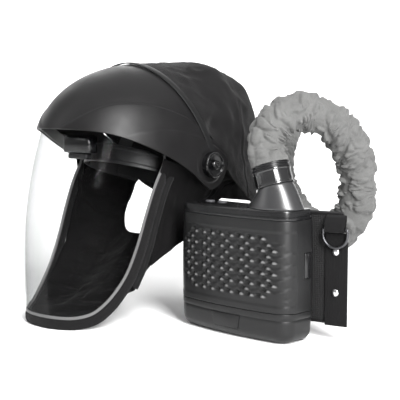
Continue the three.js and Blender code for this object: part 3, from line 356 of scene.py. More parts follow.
class Shader:
    """A Principled material under construction."""

    def __init__(self, name, color, roughness, metallic=0.0):
        self.material = bpy.data.materials.new(name)
        self.material.use_nodes = True
        self.tree = self.material.node_tree
        self.surface = self.tree.nodes["Principled BSDF"]
        self.output = self.tree.nodes["Material Output"]
        self.color = self.value_color(color)
        self.roughness = roughness
        self.surface.inputs["Metallic"].default_value = metallic
        self.height = None

    def node(self, kind, **settings):
        made = self.tree.nodes.new(kind)
        for key, value in settings.items():
            setattr(made, key, value)
        return made

    def link(self, source, target):
        if hasattr(source, "is_output"):
            self.tree.links.new(source, target)
        else:
            target.default_value = source

    def value_color(self, color):
        made = self.node("ShaderNodeRGB")
        made.outputs[0].default_value = (*color, 1)
        return made.outputs[0]

    def place(self, woven=False):
        if woven:
            return self.node("ShaderNodeAttribute", attribute_name="weave").outputs["Vector"]
        return self.node("ShaderNodeTexCoord").outputs["Object"]

    def noise(self, cell, detail=3.0, woven=False):
        """Noise from 0 to 1 with cells of the given size in millimetres."""
        made = self.node("ShaderNodeTexNoise")
        made.inputs["Scale"].default_value = 1 / cell if woven else 1000 / cell
        made.inputs["Detail"].default_value = detail
        self.link(self.place(woven), made.inputs["Vector"])
        return made.outputs["Fac"]

    def math(self, operation, a, b=0.0, c=0.0):
        made = self.node("ShaderNodeMath", operation=operation)
        for i, value in enumerate((a, b, c)):
            self.link(value, made.inputs[i])
        return made.outputs[0]

    def ranged(self, value, low, high, to_low=0.0, to_high=1.0):
        made = self.node("ShaderNodeMapRange")
        for key, number in (("From Min", low), ("From Max", high), ("To Min", to_low), ("To Max", to_high)):
            made.inputs[key].default_value = number
        self.link(value, made.inputs["Value"])
        return made.outputs["Result"]

    def blend(self, fac, a, b):
        made = self.node("ShaderNodeMix", data_type="RGBA")
        self.link(fac, made.inputs[0])
        self.link(a, made.inputs[6])
        self.link((*b, 1) if isinstance(b, tuple) else b, made.inputs[7])
        return made.outputs[2]

    def tint(self, fac, color):
        self.color = self.blend(fac, self.color, color)

    def vary(self, fac, low, high):
        """Multiplies the colour by a grey from low to high as fac runs 0 to 1."""
        shade = self.ranged(fac, 0.0, 1.0, low, high)
        made = self.node("ShaderNodeMix", data_type="RGBA", blend_type="MULTIPLY")
        made.inputs[0].default_value = 1
        self.link(self.color, made.inputs[6])
        grey = self.node("ShaderNodeCombineColor")
        for k in range(3):
            self.link(shade, grey.inputs[k])
        self.link(grey.outputs[0], made.inputs[7])
        self.color = made.outputs[2]

    def raise_by(self, value, depth):
        """Adds a bump layer of the given depth in millimetres."""
        made = self.node("ShaderNodeBump")
        made.inputs["Strength"].default_value = 1
        made.inputs["Distance"].default_value = depth * MM
        self.link(value, made.inputs["Height"])
        if self.height is not None:
            self.link(self.height, made.inputs["Normal"])
        self.height = made.outputs["Normal"]

    def edge_wear(self, amount, color):
        point = self.node("ShaderNodeNewGeometry").outputs["Pointiness"]
        mask = self.ranged(point, 0.53, 0.6, 0.0, amount)
        self.tint(self.math("MULTIPLY", mask, self.noise(6)), color)

    def done(self, **inputs):
        self.link(self.color, self.surface.inputs["Base Color"])
        self.link(self.roughness, self.surface.inputs["Roughness"])
        if self.height is not None:
            self.link(self.height, self.surface.inputs["Normal"])
        for key, value in inputs.items():
            self.surface.inputs[key.replace("_", " ")].default_value = value
        return self.material


def moulded(name, color, roughness, grain=0.5, depth=0.02, wear=0.25, shine=0.35):
    """Moulded plastic: fine grain, cloudy gloss and lighter rubbed edges."""
    s = Shader(name, color, roughness)
    s.roughness = s.ranged(s.noise(30), 0.3, 0.7, roughness - 0.05, roughness + 0.06)
    s.vary(s.noise(45), 0.88, 1.12)
    s.raise_by(s.noise(grain, 2.0), depth)
    s.raise_by(s.noise(14, 1.0), depth * 2)
    s.edge_wear(wear, tuple(min(1.0, c * 2.2 + 0.01) for c in color))
    return s.done(Specular_IOR_Level=shine)


def steel(name, color, roughness):
    """Brushed or polished metal with fine streaks."""
    s = Shader(name, color, roughness, 1.0)
    streak = s.node("ShaderNodeTexWave", bands_direction="Z")
    streak.inputs["Scale"].default_value = 600
    streak.inputs["Distortion"].default_value = 6
    s.link(s.place(), streak.inputs["Vector"])
    s.roughness = s.ranged(streak.outputs["Fac"], 0, 1, roughness * 0.8, roughness * 1.25)
    s.vary(s.noise(5), 0.85, 1.1)
    s.raise_by(streak.outputs["Fac"], 0.01)
    return s.done()


def woven(name, color, pitch, turn=0.0, depth=0.12, contrast=0.3, sheen=0.06, cloud=14.0):
    """Cloth whose threads follow the sheet it is on; pitch is the thread spacing in millimetres."""
    s = Shader(name, color, 0.9)
    split = s.node("ShaderNodeSeparateXYZ")
    turned = s.node("ShaderNodeVectorRotate", rotation_type="Z_AXIS")
    s.link(s.place(True), turned.inputs["Vector"])
    turned.inputs["Angle"].default_value = turn * DEG
    s.link(turned.outputs[0], split.inputs[0])
    threads = [s.math("SINE", s.math("MULTIPLY", split.outputs[k], 2 * math.pi / pitch)) for k in (0, 1)]
    height = s.ranged(s.math("MULTIPLY", *threads), -1, 1)
    s.vary(height, 1 - contrast, 1 + contrast)
    s.vary(s.noise(cloud), 0.8, 1.2)
    s.vary(s.noise(1.6, 2.0), 0.85, 1.15)
    s.raise_by(height, depth)
    s.raise_by(s.noise(2.5, 4.0), depth * 0.4)
    s.roughness = s.ranged(s.noise(cloud), 0, 1, 0.82, 0.96)
    return s.done(Sheen_Weight=sheen, Sheen_Roughness=0.5, Specular_IOR_Level=0.08)


def spacer_mesh(name, color):
    """Padded mesh with rows of small open cells."""
    s = Shader(name, color, 0.9)
    cells = s.node("ShaderNodeTexVoronoi")
    cells.inputs["Scale"].default_value = 1 / 2.4
    cells.inputs["Randomness"].default_value = 0.15
    s.link(s.place(True), cells.inputs["Vector"])
    rib = s.ranged(cells.outputs["Distance"], 0.15, 0.45)
    s.vary(rib, 0.25, 1.5)
    s.vary(s.noise(22), 0.75, 1.25)
    s.raise_by(rib, 0.5)
    return s.done(Sheen_Weight=0.06, Specular_IOR_Level=0.15)


def vented(name, color, roughness):
    """The cover's plastic: painted shade inside the scoops and a painted highlight on their lips."""
    s = Shader(name, color, roughness)
    scoop = s.node("ShaderNodeAttribute", attribute_name="scoop").outputs["Fac"]
    s.roughness = s.ranged(s.noise(30), 0.3, 0.7, roughness - 0.04, roughness + 0.06)
    s.vary(s.noise(40), 0.9, 1.12)
    # Painted shade: near-black where the scoop value marks a hollow.
    s.tint(s.ranged(scoop, -0.1, -0.6), (0.0015, 0.0015, 0.0015))
    # Painted highlight: light grey where the scoop value marks a lip.
    s.tint(s.ranged(scoop, 0.15, 0.95, 0.0, 0.6), (0.26, 0.26, 0.26))
    s.raise_by(s.noise(0.5, 2.0), 0.025)
    return s.done(Specular_IOR_Level=0.35)


def clear_sheet(name):
    """Thin clear plastic: see-through with mirror glints that grow toward grazing angles."""
    s = Shader(name, (1, 1, 1), 0.03)
    fresnel = s.node("ShaderNodeFresnel")
    fresnel.inputs["IOR"].default_value = 1.5
    scratch = s.ranged(s.noise(9, 6.0), 0.66, 0.74, 0.0, 0.003)
    glossy = s.node("ShaderNodeBsdfGlossy")
    glossy.inputs["Roughness"].default_value = 0.03
    through = s.node("ShaderNodeBsdfTransparent")
    facing = s.node("ShaderNodeLayerWeight")
    facing.inputs["Blend"].default_value = 0.35
    tint = s.blend(facing.outputs["Facing"], (0.97, 0.972, 0.972, 1), (0.7, 0.705, 0.705))
    s.link(tint, through.inputs["Color"])
    mix = s.node("ShaderNodeMixShader")
    s.link(s.math("ADD", s.math("MULTIPLY", fresnel.outputs[0], 0.02), scratch), mix.inputs[0])
    s.link(through.outputs[0], mix.inputs[1])
    s.link(glossy.outputs[0], mix.inputs[2])
    s.link(mix.outputs[0], s.output.inputs["Surface"])
    return s.material


BODY_GREY = (0.0066, 0.0066, 0.0069)
body_plastic = moulded("body_plastic", BODY_GREY, 0.42)
cover_plastic = vented("cover_plastic", BODY_GREY, 0.4)
lid_plastic = moulded("lid_plastic", (0.007, 0.007, 0.0075), 0.22, depth=0.006, shine=0.5)
cone_plastic = moulded("cone_plastic", (0.02, 0.02, 0.021), 0.31, depth=0.003, shine=0.9)
nut_plastic = moulded("nut_plastic", (0.008, 0.008, 0.0085), 0.17, depth=0.004, shine=0.9)
panel_plastic = moulded("panel_plastic", (0.004, 0.004, 0.0045), 0.18, depth=0.004)
button_plastic = moulded("button_plastic", (0.06, 0.06, 0.065), 0.5)
black_plastic = moulded("black_plastic", (0.005, 0.005, 0.0055), 0.36)
strap_plastic = moulded("strap_plastic", (0.006, 0.006, 0.0065), 0.42)
knob_plastic = moulded("knob_plastic", (0.003, 0.003, 0.0035), 0.1, depth=0.003, shine=0.5)
shell_plastic = moulded("shell_plastic", (0.0075, 0.0072, 0.0075), 0.38, grain=0.7, depth=0.03, shine=0.2)
band_plastic = moulded("band_plastic", (0.007, 0.007, 0.0073), 0.42, shine=0.25)
# Light grey for the visor's edge bead: painted highlight on the clear visor's edge.
edge_highlight_plastic = moulded("edge_highlight_plastic", (0.11, 0.11, 0.11), 0.45)
# Pale grey for the brim liner: painted light on the brim's lit underside.
liner_painted_light = moulded("liner_painted_light", (0.3, 0.3, 0.3), 0.5)
fan_plastic = moulded("fan_plastic", (0.04, 0.04, 0.045), 0.5)
board_plastic = moulded("board_plastic", (0.015, 0.07, 0.03), 0.4)
hose_rubber = moulded("hose_rubber", (0.006, 0.006, 0.0065), 0.55)
visor_clear = clear_sheet("visor_clear")
trim_cloth = woven("trim_cloth", (0.0085, 0.0082, 0.0085), 0.9, 0, 0.12)
hood_cloth = woven("hood_cloth", (0.0085, 0.0082, 0.0085), 1.1, 40, 0.1)
seal_cloth = woven("seal_cloth", (0.004, 0.0038, 0.004), 1.0, 20, 0.06, 0.15, 0.02)
sleeve_cloth = woven("sleeve_cloth", (0.108, 0.108, 0.106), 0.9, 0, 0.08, 0.08, 0.1, 20)
webbing_cloth = woven("webbing_cloth", (0.0075, 0.0073, 0.0076), 1.5, 45, 0.25, 0.4)
binding_cloth = woven("binding_cloth", (0.0065, 0.0063, 0.0066), 1.2, 0, 0.2, 0.35)
pad_mesh = spacer_mesh("pad_mesh", (0.012, 0.0118, 0.0121))
filter_media = woven("filter_media", (0.62, 0.62, 0.58), 3.0, 0, 0.4, 0.2)
rivet_steel = steel("rivet_steel", (0.75, 0.75, 0.76), 0.14)
dark_steel = steel("dark_steel", (0.09, 0.09, 0.095), 0.28)
bolt_steel = steel("bolt_steel", (0.5, 0.5, 0.51), 0.3)


# ------------------------------------------------------------------ blower

def body_line(inset, side, fine):
    """Plan line of the blower's front or back half, from one split to the other, left to right."""
    corner_x = BODY_HALF - CORNER_RADIUS
    centre_y = BODY_FRONT + FRONT_RADIUS
    reach = FRONT_RADIUS - CORNER_RADIUS
    half = math.asin(corner_x / reach) / DEG
    corner_y = centre_y - reach * math.cos(half * DEG)
    edge_x = BODY_HALF - inset
    if side == "front":
        corner = CORNER_RADIUS - inset
        turn = arc_points(corner_x, corner_y, corner, -90 + half, 0, 8 * fine)
        bow = arc_points(0, centre_y, FRONT_RADIUS - inset, -90 - half, -90 + half, 44 * fine)
        right = np.vstack([turn, [[edge_x, SPLIT_Y]]])
        left = right[::-1] * [-1, 1]
        return np.vstack([left, bow[1:-1], right])
    back_x = BODY_HALF - BACK_RADIUS
    back_y = BACK_CORNER - BACK_RADIUS
    hollow = (back_x**2 + BACK_SAG**2) / (2 * BACK_SAG)
    swing = math.asin(back_x / hollow) / DEG
    turn = arc_points(back_x, back_y, max(BACK_RADIUS - inset, 1), 0, 90, 5 * fine)
    bow = arc_points(0, BACK_CORNER - BACK_SAG + hollow, hollow + inset, -90 + swing, -90 - swing, 20 * fine)
    right = np.vstack([[[edge_x, SPLIT_Y]], turn])
    left = (right * [-1, 1])[::-1]
    return np.vstack([right, bow[1:-1], left])


def barrel(z):
    return BARREL_INSET * ((z - BARREL_MID) / 80) ** 2


def body_rows(side, steps, fine=1):
    """Grid of the body's half from (inset, z) steps."""
    rows = []
    for inset, z in steps:
        line = body_line(inset + barrel(z), side, fine)
        rows.append(np.column_stack([line, np.full(len(line), z)]))
    return np.array(rows).transpose(1, 0, 2)


def wall_steps(low, high, pitch, ledge):
    """Steps of a wall with rounded edges that turns in at top and bottom; outer and inner."""
    turn = np.linspace(0, 90, 5) * DEG
    foot = [(EDGE * (1 - math.sin(a)), low + EDGE * (1 - math.cos(a))) for a in turn]
    head = [(inset, high + low - z) for inset, z in foot[::-1]]
    count = int((high - low - 2 * EDGE) / pitch)
    middle = [(0.0, z) for z in np.linspace(low + EDGE, high - EDGE, count)[1:-1]]
    outer = [(ledge, low)] + foot + middle + head + [(ledge, high)]
    inner = []
    for inset, z in outer:
        if inset >= ledge:
            inner.append((inset, z + math.copysign(WALL, (low + high) / 2 - z)))
        else:
            inner.append((WALL, min(max(z, low + WALL), high - WALL)))
    return outer, inner


LOUVRE_PITCH_X, LOUVRE_PITCH_Z, LOUVRE_TOP = 16.0, 14.0, 128.0


def louvre_field(run, z):
    """Height in millimetres and the scoop value, which paints shade in the cover's hollows and highlights on their
    lips, at (arc length, z).
    """
    height = np.zeros_like(run)
    scoop = np.zeros_like(run)
    marks = []
    for row in range(11):
        main = row % 2 == 0
        level = LOUVRE_TOP - row * LOUVRE_PITCH_Z / 2
        if main:
            first, last = (1, 8) if row in (0, 10) else (0, 9)
            marks += [(c, level, 1.0) for c in range(first, last + 1)]
            marks += [(10.5, level - 3, 0.14)] if 0 < row else []
        else:
            marks += [(c, level, 0.85) for c in (0.5, 2.5, 4.5, 6.5, 8.5)]
            marks += [(c, level, 0.22) for c in (3.4, 5.6, 7.6, 9.5)]
    for column, level, strength in marks:
        at = (column - 4.5) * LOUVRE_PITCH_X
        stretch = 1.0 + 0.25 * smooth(at, -60, 70) + (0.35 if strength < 0.5 else 0)
        du, dz = (run - at) / stretch, z - level
        hollow = np.exp(-(((du + 2.6) / 3.7) ** 2 + ((dz - 0.5) / 2.4) ** 2) ** 1.5)
        lip = np.exp(-(((du - 2.4) / 3.7) ** 2 + ((dz + 0.5 + 0.1 * du) / 1.75) ** 2) ** 1.3)
        height += strength * (1.7 * lip - 2.4 * hollow)
        # Lips add to the painted highlight, hollows to the painted shade.
        scoop += strength * (lip - 1.2 * hollow)
    return height, np.clip(scoop, -1, 1)


def field_recess(run, z):
    """Shallow panel that holds the scoops."""
    inside = smooth(z, 44, 49) * (1 - smooth(z, 134, 138)) * (1 - smooth(np.abs(run), 100, 112))
    return -0.6 * inside


def make_cover():
    steps, inner_steps = wall_steps(COVER_LOW, COVER_HIGH, 0.85, 14)
    outer = body_rows("front", steps, 5)
    inner = body_rows("front", inner_steps, 5)
    plan = outer[:, len(steps) // 2, :2]
    run = np.concatenate([[0], np.cumsum(np.linalg.norm(np.diff(plan, axis=0), axis=1))])
    run = (run - run[-1] / 2)[:, None] * np.ones(len(steps))
    face = np.array([inset < 0.01 for inset, _ in steps])
    normal = unit(np.cross(np.gradient(outer, axis=0), [0.0, 0.0, 1.0]))
    height, scoop = louvre_field(run, outer[..., 2])
    height = (height + field_recess(run, outer[..., 2])) * face
    outer = outer + normal * height[..., None]
    verts, faces, weave = sheet_mesh(outer, inner)
    cover = make("cover_shell", verts, faces, cover_plastic, "cover", weave)
    # The scoop value drives the cover's painted shade and painted highlight.
    layer = cover.data.attributes.new("scoop", "FLOAT", "POINT")
    points = np.array([v.co for v in cover.data.vertices]) / MM
    table = scoop * face
    flat = outer.reshape(-1, 3)
    tree_values = nearest_values(points, flat, table.ravel())
    layer.data.foreach_set("value", tree_values.astype(np.float32))
    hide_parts("filter_cover")


def nearest_values(points, known, values):
    """Values of the nearest known point, by kd-tree; 0 farther than half a millimetre away."""
    from mathutils.kdtree import KDTree
    tree = KDTree(len(known))
    for i, p in enumerate(known):
        tree.insert(p, i)
    tree.balance()
    result = np.zeros(len(points))
    for i, p in enumerate(points):
        _, found, distance = tree.find(p)
        if distance < 0.5:
            result[i] = values[found]
    return result


def make_housing():
    steps, inner_steps = wall_steps(COVER_LOW, COVER_HIGH, 3, 10)
    outer = body_rows("back", steps, 3) + [0, 0.3, 0]
    inner = body_rows("back", inner_steps, 3) + [0, 0.3, 0]
    housing = sheet_piece("housing_shell", outer, inner, body_plastic, "base")
    for side in ("right", "left"):
        low, high = box_mm(f"cover_latch_{side}")
        y0, y1, z0, z1 = 1.0, 13.0, 78.0, 110.0
        middle = (low[0] + high[0]) / 2
        carve(housing, *prism([(y0, z0), (y1, z0), (y1, z1), (y0, z1)], "x", middle - 8, middle + 8))
    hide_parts("blower_housing")


def full_ring(inset, z, fine=2):
    front = body_line(inset + barrel(z), "front", fine)
    back = body_line(inset + barrel(z), "back", fine)
    line = np.vstack([front, back[1:-1]])
    return np.column_stack([line, np.full(len(line), z)])


def make_battery():
    foot = 13.0
    steps = []
    for a in np.linspace(0, 90, 14) * DEG:
        steps.append((foot * (1 - math.sin(a)), foot * (1 - math.cos(a))))
    steps += [(0.0, z) for z in (17, 21, 25, 28.6)]
    steps += [(0.35, 29.2), (0.35, 29.8), (0.0, 30.4), (0.0, 33.5)]
    for a in np.linspace(0, 90, 5) * DEG:
        steps.append((EDGE * (1 - math.cos(a)), BATTERY_TOP - EDGE + EDGE * math.sin(a)))
    battery = loft_piece("battery_case", [full_ring(i, z, 3) for i, z in steps], body_plastic, "battery")
    top, bottom, half_top, half_bottom = 29.0, 11.0, 24.5, 21.0
    outline = [(-half_top, top), (half_top, top), (half_bottom, bottom), (-half_bottom, bottom)]
    carve(battery, *prism(outline, "y", -60, -30.6))
    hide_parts("battery_pack")


def make_lid():
    steps = [(EDGE * (1 - math.sin(a)), LID_LOW + EDGE * (1 - math.cos(a))) for a in np.linspace(0, 90, 5) * DEG]
    steps += [(0.0, z) for z in (152.4, 153.2)] + [(0.5, 153.6), (0.5, 154.2), (0.0, 154.6), (0.0, 158)]
    turn = 2.4
    steps += [(turn * (1 - math.cos(a)), LID_TOP - turn + turn * math.sin(a)) for a in np.linspace(0, 90, 8) * DEG]
    lid = loft_piece("lid_shell", [full_ring(i, z, 3) for i, z in steps], lid_plastic, "base")
    for node in ("power_button", "airflow_button"):
        low, high = box_mm(node)
        x, y = (low[:2] + high[:2]) / 2
        carve(lid, *prism(arc_points(x, y, 6.4, 0, 350, 36), "z", LID_TOP - 3, LID_TOP + 2))
    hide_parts("top_lid")


CONE_AXIS = np.array([-math.sin(18 * DEG), 0, math.cos(18 * DEG)])
CONE_MOUTH = np.array([54.1, -7.0, 188.4])


def cone_ring(rise, inset, sides=96):
    blend = rise * rise * (3 - 2 * rise)
    across = unit(np.array([math.cos(18 * DEG), 0, math.sin(18 * DEG)]) * blend + np.array([1.0, 0, 0]) * (1 - blend))
    foot = np.array([54.7, -7.0, LID_TOP + 0.3])
    centre = foot + (CONE_MOUTH - foot) * rise
    radius_x = 38.5 + (22.4 - 38.5) * rise - inset
    radius_y = 28.5 + (22.4 - 28.5) * rise - inset
    angle = np.linspace(0, 2 * math.pi, sides, endpoint=False)[:, None]
    return centre + across * radius_x * np.cos(angle) + np.array([0, 1.0, 0]) * radius_y * np.sin(angle)


def make_cone():
    rises = np.concatenate([[0], np.linspace(0.03, 0.97, 14), [1]])
    insets = [0.5] + [0] * 14 + [0.5]
    outer = [cone_ring(r, i) for r, i in zip(rises, insets)]
    side = unit(np.cross(CONE_AXIS, [0.0, 1.0, 0.0]))
    angle = np.linspace(0, 2 * math.pi, 96, endpoint=False)[:, None]
    ring = -side * np.cos(angle) + np.array([0, 1.0, 0]) * np.sin(angle)
    outer += [CONE_MOUTH + ring * 17.5 + CONE_AXIS * h for h in (0.0, 6.0, 12.0, 18.0)]
    inner = [cone_ring(r, 2.4 + 4 * r) for r in rises]
    inner += [CONE_MOUTH + ring * 15.4 + CONE_AXIS * h for h in (0.0, 6.0, 12.0, 18.0)]
    cone = sheet_piece("outlet_funnel", np.array(outer).transpose(1, 0, 2), np.array(inner).transpose(1, 0, 2),
                       cone_plastic, "base", wrap=True)
    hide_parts("outlet_cone")


def make_nut(name, node, origin, axis, body):
    """Ribbed coupling nut with a foot lip."""
    outer, inner, start, length = 23.2, 20.6, 0.5, 20.0
    profile = rounded_loop([
        (inner, start), (outer + 0.5, start), (outer + 0.5, start + 2.2), (outer - 0.3, start + 2.8),
        (outer - 0.3, start + length - 2.6), (outer + 0.3, start + length - 2), (outer + 0.3, start + length),
        (inner, start + length),
    ], 0.6)
    ribs = 8

    def grip(angle, points):
        swell = 0.8 * max(0.0, math.cos(angle * ribs)) ** 24
        band = (points[:, 1] > start + 3) & (points[:, 1] < start + length - 3) & (points[:, 0] > outer - 1)
        points[band, 0] += swell
        return points

    nut = turned_piece(name, profile, origin, axis, nut_plastic, body, 192, grip)
    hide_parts(node)


def make_clamp():
    outer, inner, start = 23.2, 20.6, 20.9
    profile = rounded_loop([
        (inner, start), (outer + 0.6, start), (outer + 0.6, start + 1.6), (outer - 0.6, start + 2),
        (outer - 0.6, start + 4.2), (outer + 0.6, start + 4.4), (outer + 0.6, start + 6), (inner, start + 6),
    ], 0.4)
    clamp = turned_piece("hose_clamp_ring", profile, CONE_MOUTH, CONE_AXIS, black_plastic, "base", 128)
    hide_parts("hose_clamp_blower")


# ------------------------------------------------------------------ hose

HELMET_PORT = np.array([HELMET_X + 18.258, 219.578, 226.691])
PORT_AXIS = np.array([0.7931, 0.2588, 0.5513])
HOSE_POINTS = [
    CONE_MOUTH + CONE_AXIS * 27.6, CONE_MOUTH + CONE_AXIS * 43.6,
    (40, -4, 248), (47, 7, 268), (60, 33, 279), (79, 70, 266), (91, 98, 230), (92, 110, 186),
    (82, 109, 142), (46, 104, 116), (8, 98, 137), (-18, 99, 159), (-38, 106, 183), (-52, 118, 210),
    (-66, 141, 237), (-84, 174, 256), (-108, 203, 263), (-132, 223, 262),
    HELMET_PORT + PORT_AXIS * 43.6, HELMET_PORT + PORT_AXIS * 27.6,
]


def tube_rows(path, radii, first):
    """Rings round a path; radii is (stations, sides)."""
    tangent, across, other = carried_frames(path, first)
    sides = radii.shape[1]
    angle = np.linspace(0, 2 * math.pi, sides, endpoint=False)
    ray = across[:, None] * np.cos(angle)[None, :, None] + other[:, None] * np.sin(angle)[None, :, None]
    return path[:, None] + ray * radii[..., None], ray


def make_sleeve():
    """Cloth cover gathered along the hose into soft puffs and sharp cross folds."""
    stations, sides = 900, 110
    path = curve_through(HOSE_POINTS, stations)
    run = np.linspace(0, np.linalg.norm(np.diff(path, axis=0), axis=1).sum(), stations)
    _, ray = tube_rows(path, np.ones((stations, sides)), np.array([1.0, 0.0, 0.3]))
    curl = np.gradient(unit(np.gradient(path, axis=0)), run, axis=0)
    tight = np.einsum("ik,ijk->ij", curl, ray) * HOSE_OUTER          # above 0 on the inside of a bend
    angle = np.linspace(0, 2 * math.pi, sides, endpoint=False)
    round_noise = np.stack(np.broadcast_arrays(
        run[:, None] / 60, 1.3 * np.cos(angle)[None], 1.3 * np.sin(angle)[None]), -1)
    shift = 9 * fractal(round_noise, 2, 3)
    pitch = 19.0
    phase = (run[:, None] + shift + 6 * np.sin(angle + run[:, None] / 90)) / pitch
    puff = np.abs(np.sin(math.pi * phase)) ** 0.6
    crease_at = np.stack(np.broadcast_arrays(
        (run[:, None] + 0.6 * shift) / 7.5, 1.5 * np.cos(angle)[None], 1.5 * np.sin(angle)[None]), -1)
    crease = np.clip(1 - np.abs(fractal(crease_at, 2, 11)) * 3.4, 0, 1) ** 1.5
    bold_at = np.stack(np.broadcast_arrays(
        (run[:, None] + 14 * np.sin(angle + run[:, None] / 47)) / 15, 0.9 * np.cos(angle)[None],
        0.9 * np.sin(angle)[None]), -1)
    bold = np.clip(1 - np.abs(fractal(bold_at, 2, 31)) * 4.2, 0, 1) ** 1.2
    fine_at = np.stack(np.broadcast_arrays(
        run[:, None] / 4.5, 3.2 * np.cos(angle)[None], 3.2 * np.sin(angle)[None]), -1)
    fine = fractal(fine_at, 3, 23)
    tightness = 0.85 + 0.45 * smooth(tight, -0.1, 0.45)
    ends = smooth(run, 0, 22) * (1 - smooth(run, run[-1] - 22, run[-1]))
    ends = 0.25 + 0.75 * ends[:, None]
    radius = HOSE_OUTER + 0.6 + ends * tightness * (3.2 * puff - 1.6 - 2.8 * crease - 7.0 * bold) + 0.5 * fine
    radius = np.maximum(radius, HOSE_INNER - 0.2)
    radius -= 0.9 * (1 - ends)
    outer, _ = tube_rows(path, radius, np.array([1.0, 0.0, 0.3]))
    inner, _ = tube_rows(path, np.maximum(radius - 1.3, 20.4), np.array([1.0, 0.0, 0.3]))
    turned = (outer.transpose(1, 0, 2), inner.transpose(1, 0, 2))
    sleeve = sheet_piece("hose_sleeve", *turned, sleeve_cloth, "base", wrap=True, sharp=70)
    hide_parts("hose_cover")
    return path


def make_tube(path):
    """Corrugated hose under the sleeve."""
    run = np.linspace(0, len(path), len(path))
    ridge = 19.3 + 0.5 * np.cos(run * 0.55)[:, None] * np.ones(48)
    outer, _ = tube_rows(path, ridge, np.array([1.0, 0.0, 0.3]))
    inner, _ = tube_rows(path, ridge - 1.6, np.array([1.0, 0.0, 0.3]))
    tube = sheet_piece("inner_hose", outer.transpose(1, 0, 2), inner.transpose(1, 0, 2),
                       hose_rubber, "base", wrap=True, sharp=80)
    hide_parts("hose_tube")


# ------------------------------------------------------------------ belt

BELT_FRONT, BELT_BOW, PAD_THICK = 24.0, 0.0011, 5.0
PAD_LOW, PAD_HIGH = (box_mm("belt_pad")[i][2] for i in (0, 1))
PAD_HALF = box_mm("belt_pad")[1][0] - 0.8
RING_Z = 138.0


def pad_front(x):
    return BELT_FRONT + BELT_BOW * x * x


def belt_grid(x0, x1, z0, z1, columns, rows, forward):
    """Grid on the belt's curve; forward is how far in front of the pad's face, as f(u, v)."""
    u, v = np.meshgrid(np.linspace(0, 1, columns), np.linspace(0, 1, rows), indexing="ij")
    x = x0 + (x1 - x0) * u
    z = z0 + (z1 - z0) * v
    slope = 2 * BELT_BOW * x
    normal = unit(np.stack([slope, -np.ones_like(x), np.zeros_like(x)], -1))
    base = np.stack([x, pad_front(x), z], -1)
    return base + normal * forward(u, v)[..., None]


def make_pad():
    """Mesh-faced foam pad: pillowed, with a bound edge all round."""
    width, height = 2 * PAD_HALF, PAD_HIGH - PAD_LOW

    def pillow(u, v):
        rim = np.minimum(np.minimum(u, 1 - u) * width, np.minimum(v, 1 - v) * height)
        return 0.62 + 0.38 * smooth(rim, 4, 16)

    def front(u, v):
        dents = 0.25 * value_noise(np.stack([u * 14, v * 8, u * 0], -1), 5)
        return (PAD_THICK / 2 + dents) * (pillow(u, v)) - PAD_THICK / 2

    def back(u, v):
        return -(PAD_THICK / 2) * pillow(u, v) - PAD_THICK / 2

    pad = sheet_piece("belt_mesh_pad", belt_grid(-PAD_HALF + 1, PAD_HALF - 1, PAD_LOW + 1, PAD_HIGH - 1, 150, 80, front),
                      belt_grid(-PAD_HALF + 1, PAD_HALF - 1, PAD_LOW + 1, PAD_HIGH - 1, 150, 80, back),
                      pad_mesh, "base", bulge=0.5)
    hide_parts("belt_pad")
    rounding = 9.0
    outline = []
    for cx, cz, start in ((PAD_HALF - rounding, PAD_HIGH - rounding, 0), (-PAD_HALF + rounding, PAD_HIGH - rounding, 90),
                          (-PAD_HALF + rounding, PAD_LOW + rounding, 180), (PAD_HALF - rounding, PAD_LOW + rounding, 270)):
        outline += arc_points(cx, cz, rounding, start, start + 90, 8).tolist()
    outline = resample(np.array(outline + outline[:1]), 520)[:-1]
    x, z = outline[:, 0], outline[:, 1]
    inward = unit(np.stack([-x / PAD_HALF, -(z - (PAD_LOW + PAD_HIGH) / 2) / (height / 2)], -1))
    slope = unit(np.stack([2 * BELT_BOW * x, -np.ones_like(x)], -1))
    rows = []
    for a in np.linspace(-100, 100, 14) * DEG:
        reach = 5.0 * (1 - math.cos(a)) ** 0.7 / 1.17
        out = (PAD_THICK * 0.42 + 0.5) * math.sin(a) - PAD_THICK / 2
        rows.append(np.stack([
            x + inward[:, 0] * reach + slope[:, 0] * out,
            pad_front(x) + slope[:, 1] * out,
            z + inward[:, 1] * reach,
        ], -1))
    outer = np.array(rows).transpose(1, 0, 2)
    centre = outer.mean(1, keepdims=True)
    binding = sheet_piece("belt_edge_binding", outer, centre + (outer - centre) * 0.72, binding_cloth, "base", wrap=True)


def make_strips():
    for label, side in (("right", 1), ("left", -1)):
        low, high = box_mm(f"belt_strip_{label}")
        x0, x1 = low[0] + 0.4, high[0] - 0.4

        def ribbed(offset):
            def surface(u, v):
                edge = smooth(np.minimum(u, 1 - u) * 28, 0, 1.6)
                rib = 0.14 * np.sin(u * 28 * 2 * math.pi / 3.5)
                hem = 0.35 * np.exp(-(((v * 112 - 8) / 0.8) ** 2)) + 0.35 * np.exp(-(((v * 112 - 104) / 0.8) ** 2))
                return offset * (0.7 + 0.3 * edge) + 1.4 + (rib * edge - hem) * (offset > 0)
            return surface

        strip = sheet_piece(f"belt_webbing_{label}", belt_grid(x0, x1, low[2], high[2], 60, 150, ribbed(1.15)),
                            belt_grid(x0, x1, low[2], high[2], 60, 150, ribbed(-1.1)), webbing_cloth, "base")
        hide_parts(f"belt_strip_{label}")
        x = side * 114.0
        lean = math.atan(2 * BELT_BOW * x)
        turn = np.array([[math.cos(lean), -math.sin(lean), 0], [math.sin(lean), math.cos(lean), 0], [0, 0, 1]])
        origin = np.array([x, pad_front(x), 0.0])
        make_ring_loop(label, turn, origin)
        make_ring(label, turn, origin)
        for level in ("upper", "lower"):
            make_rivet(label, level, turn, origin)


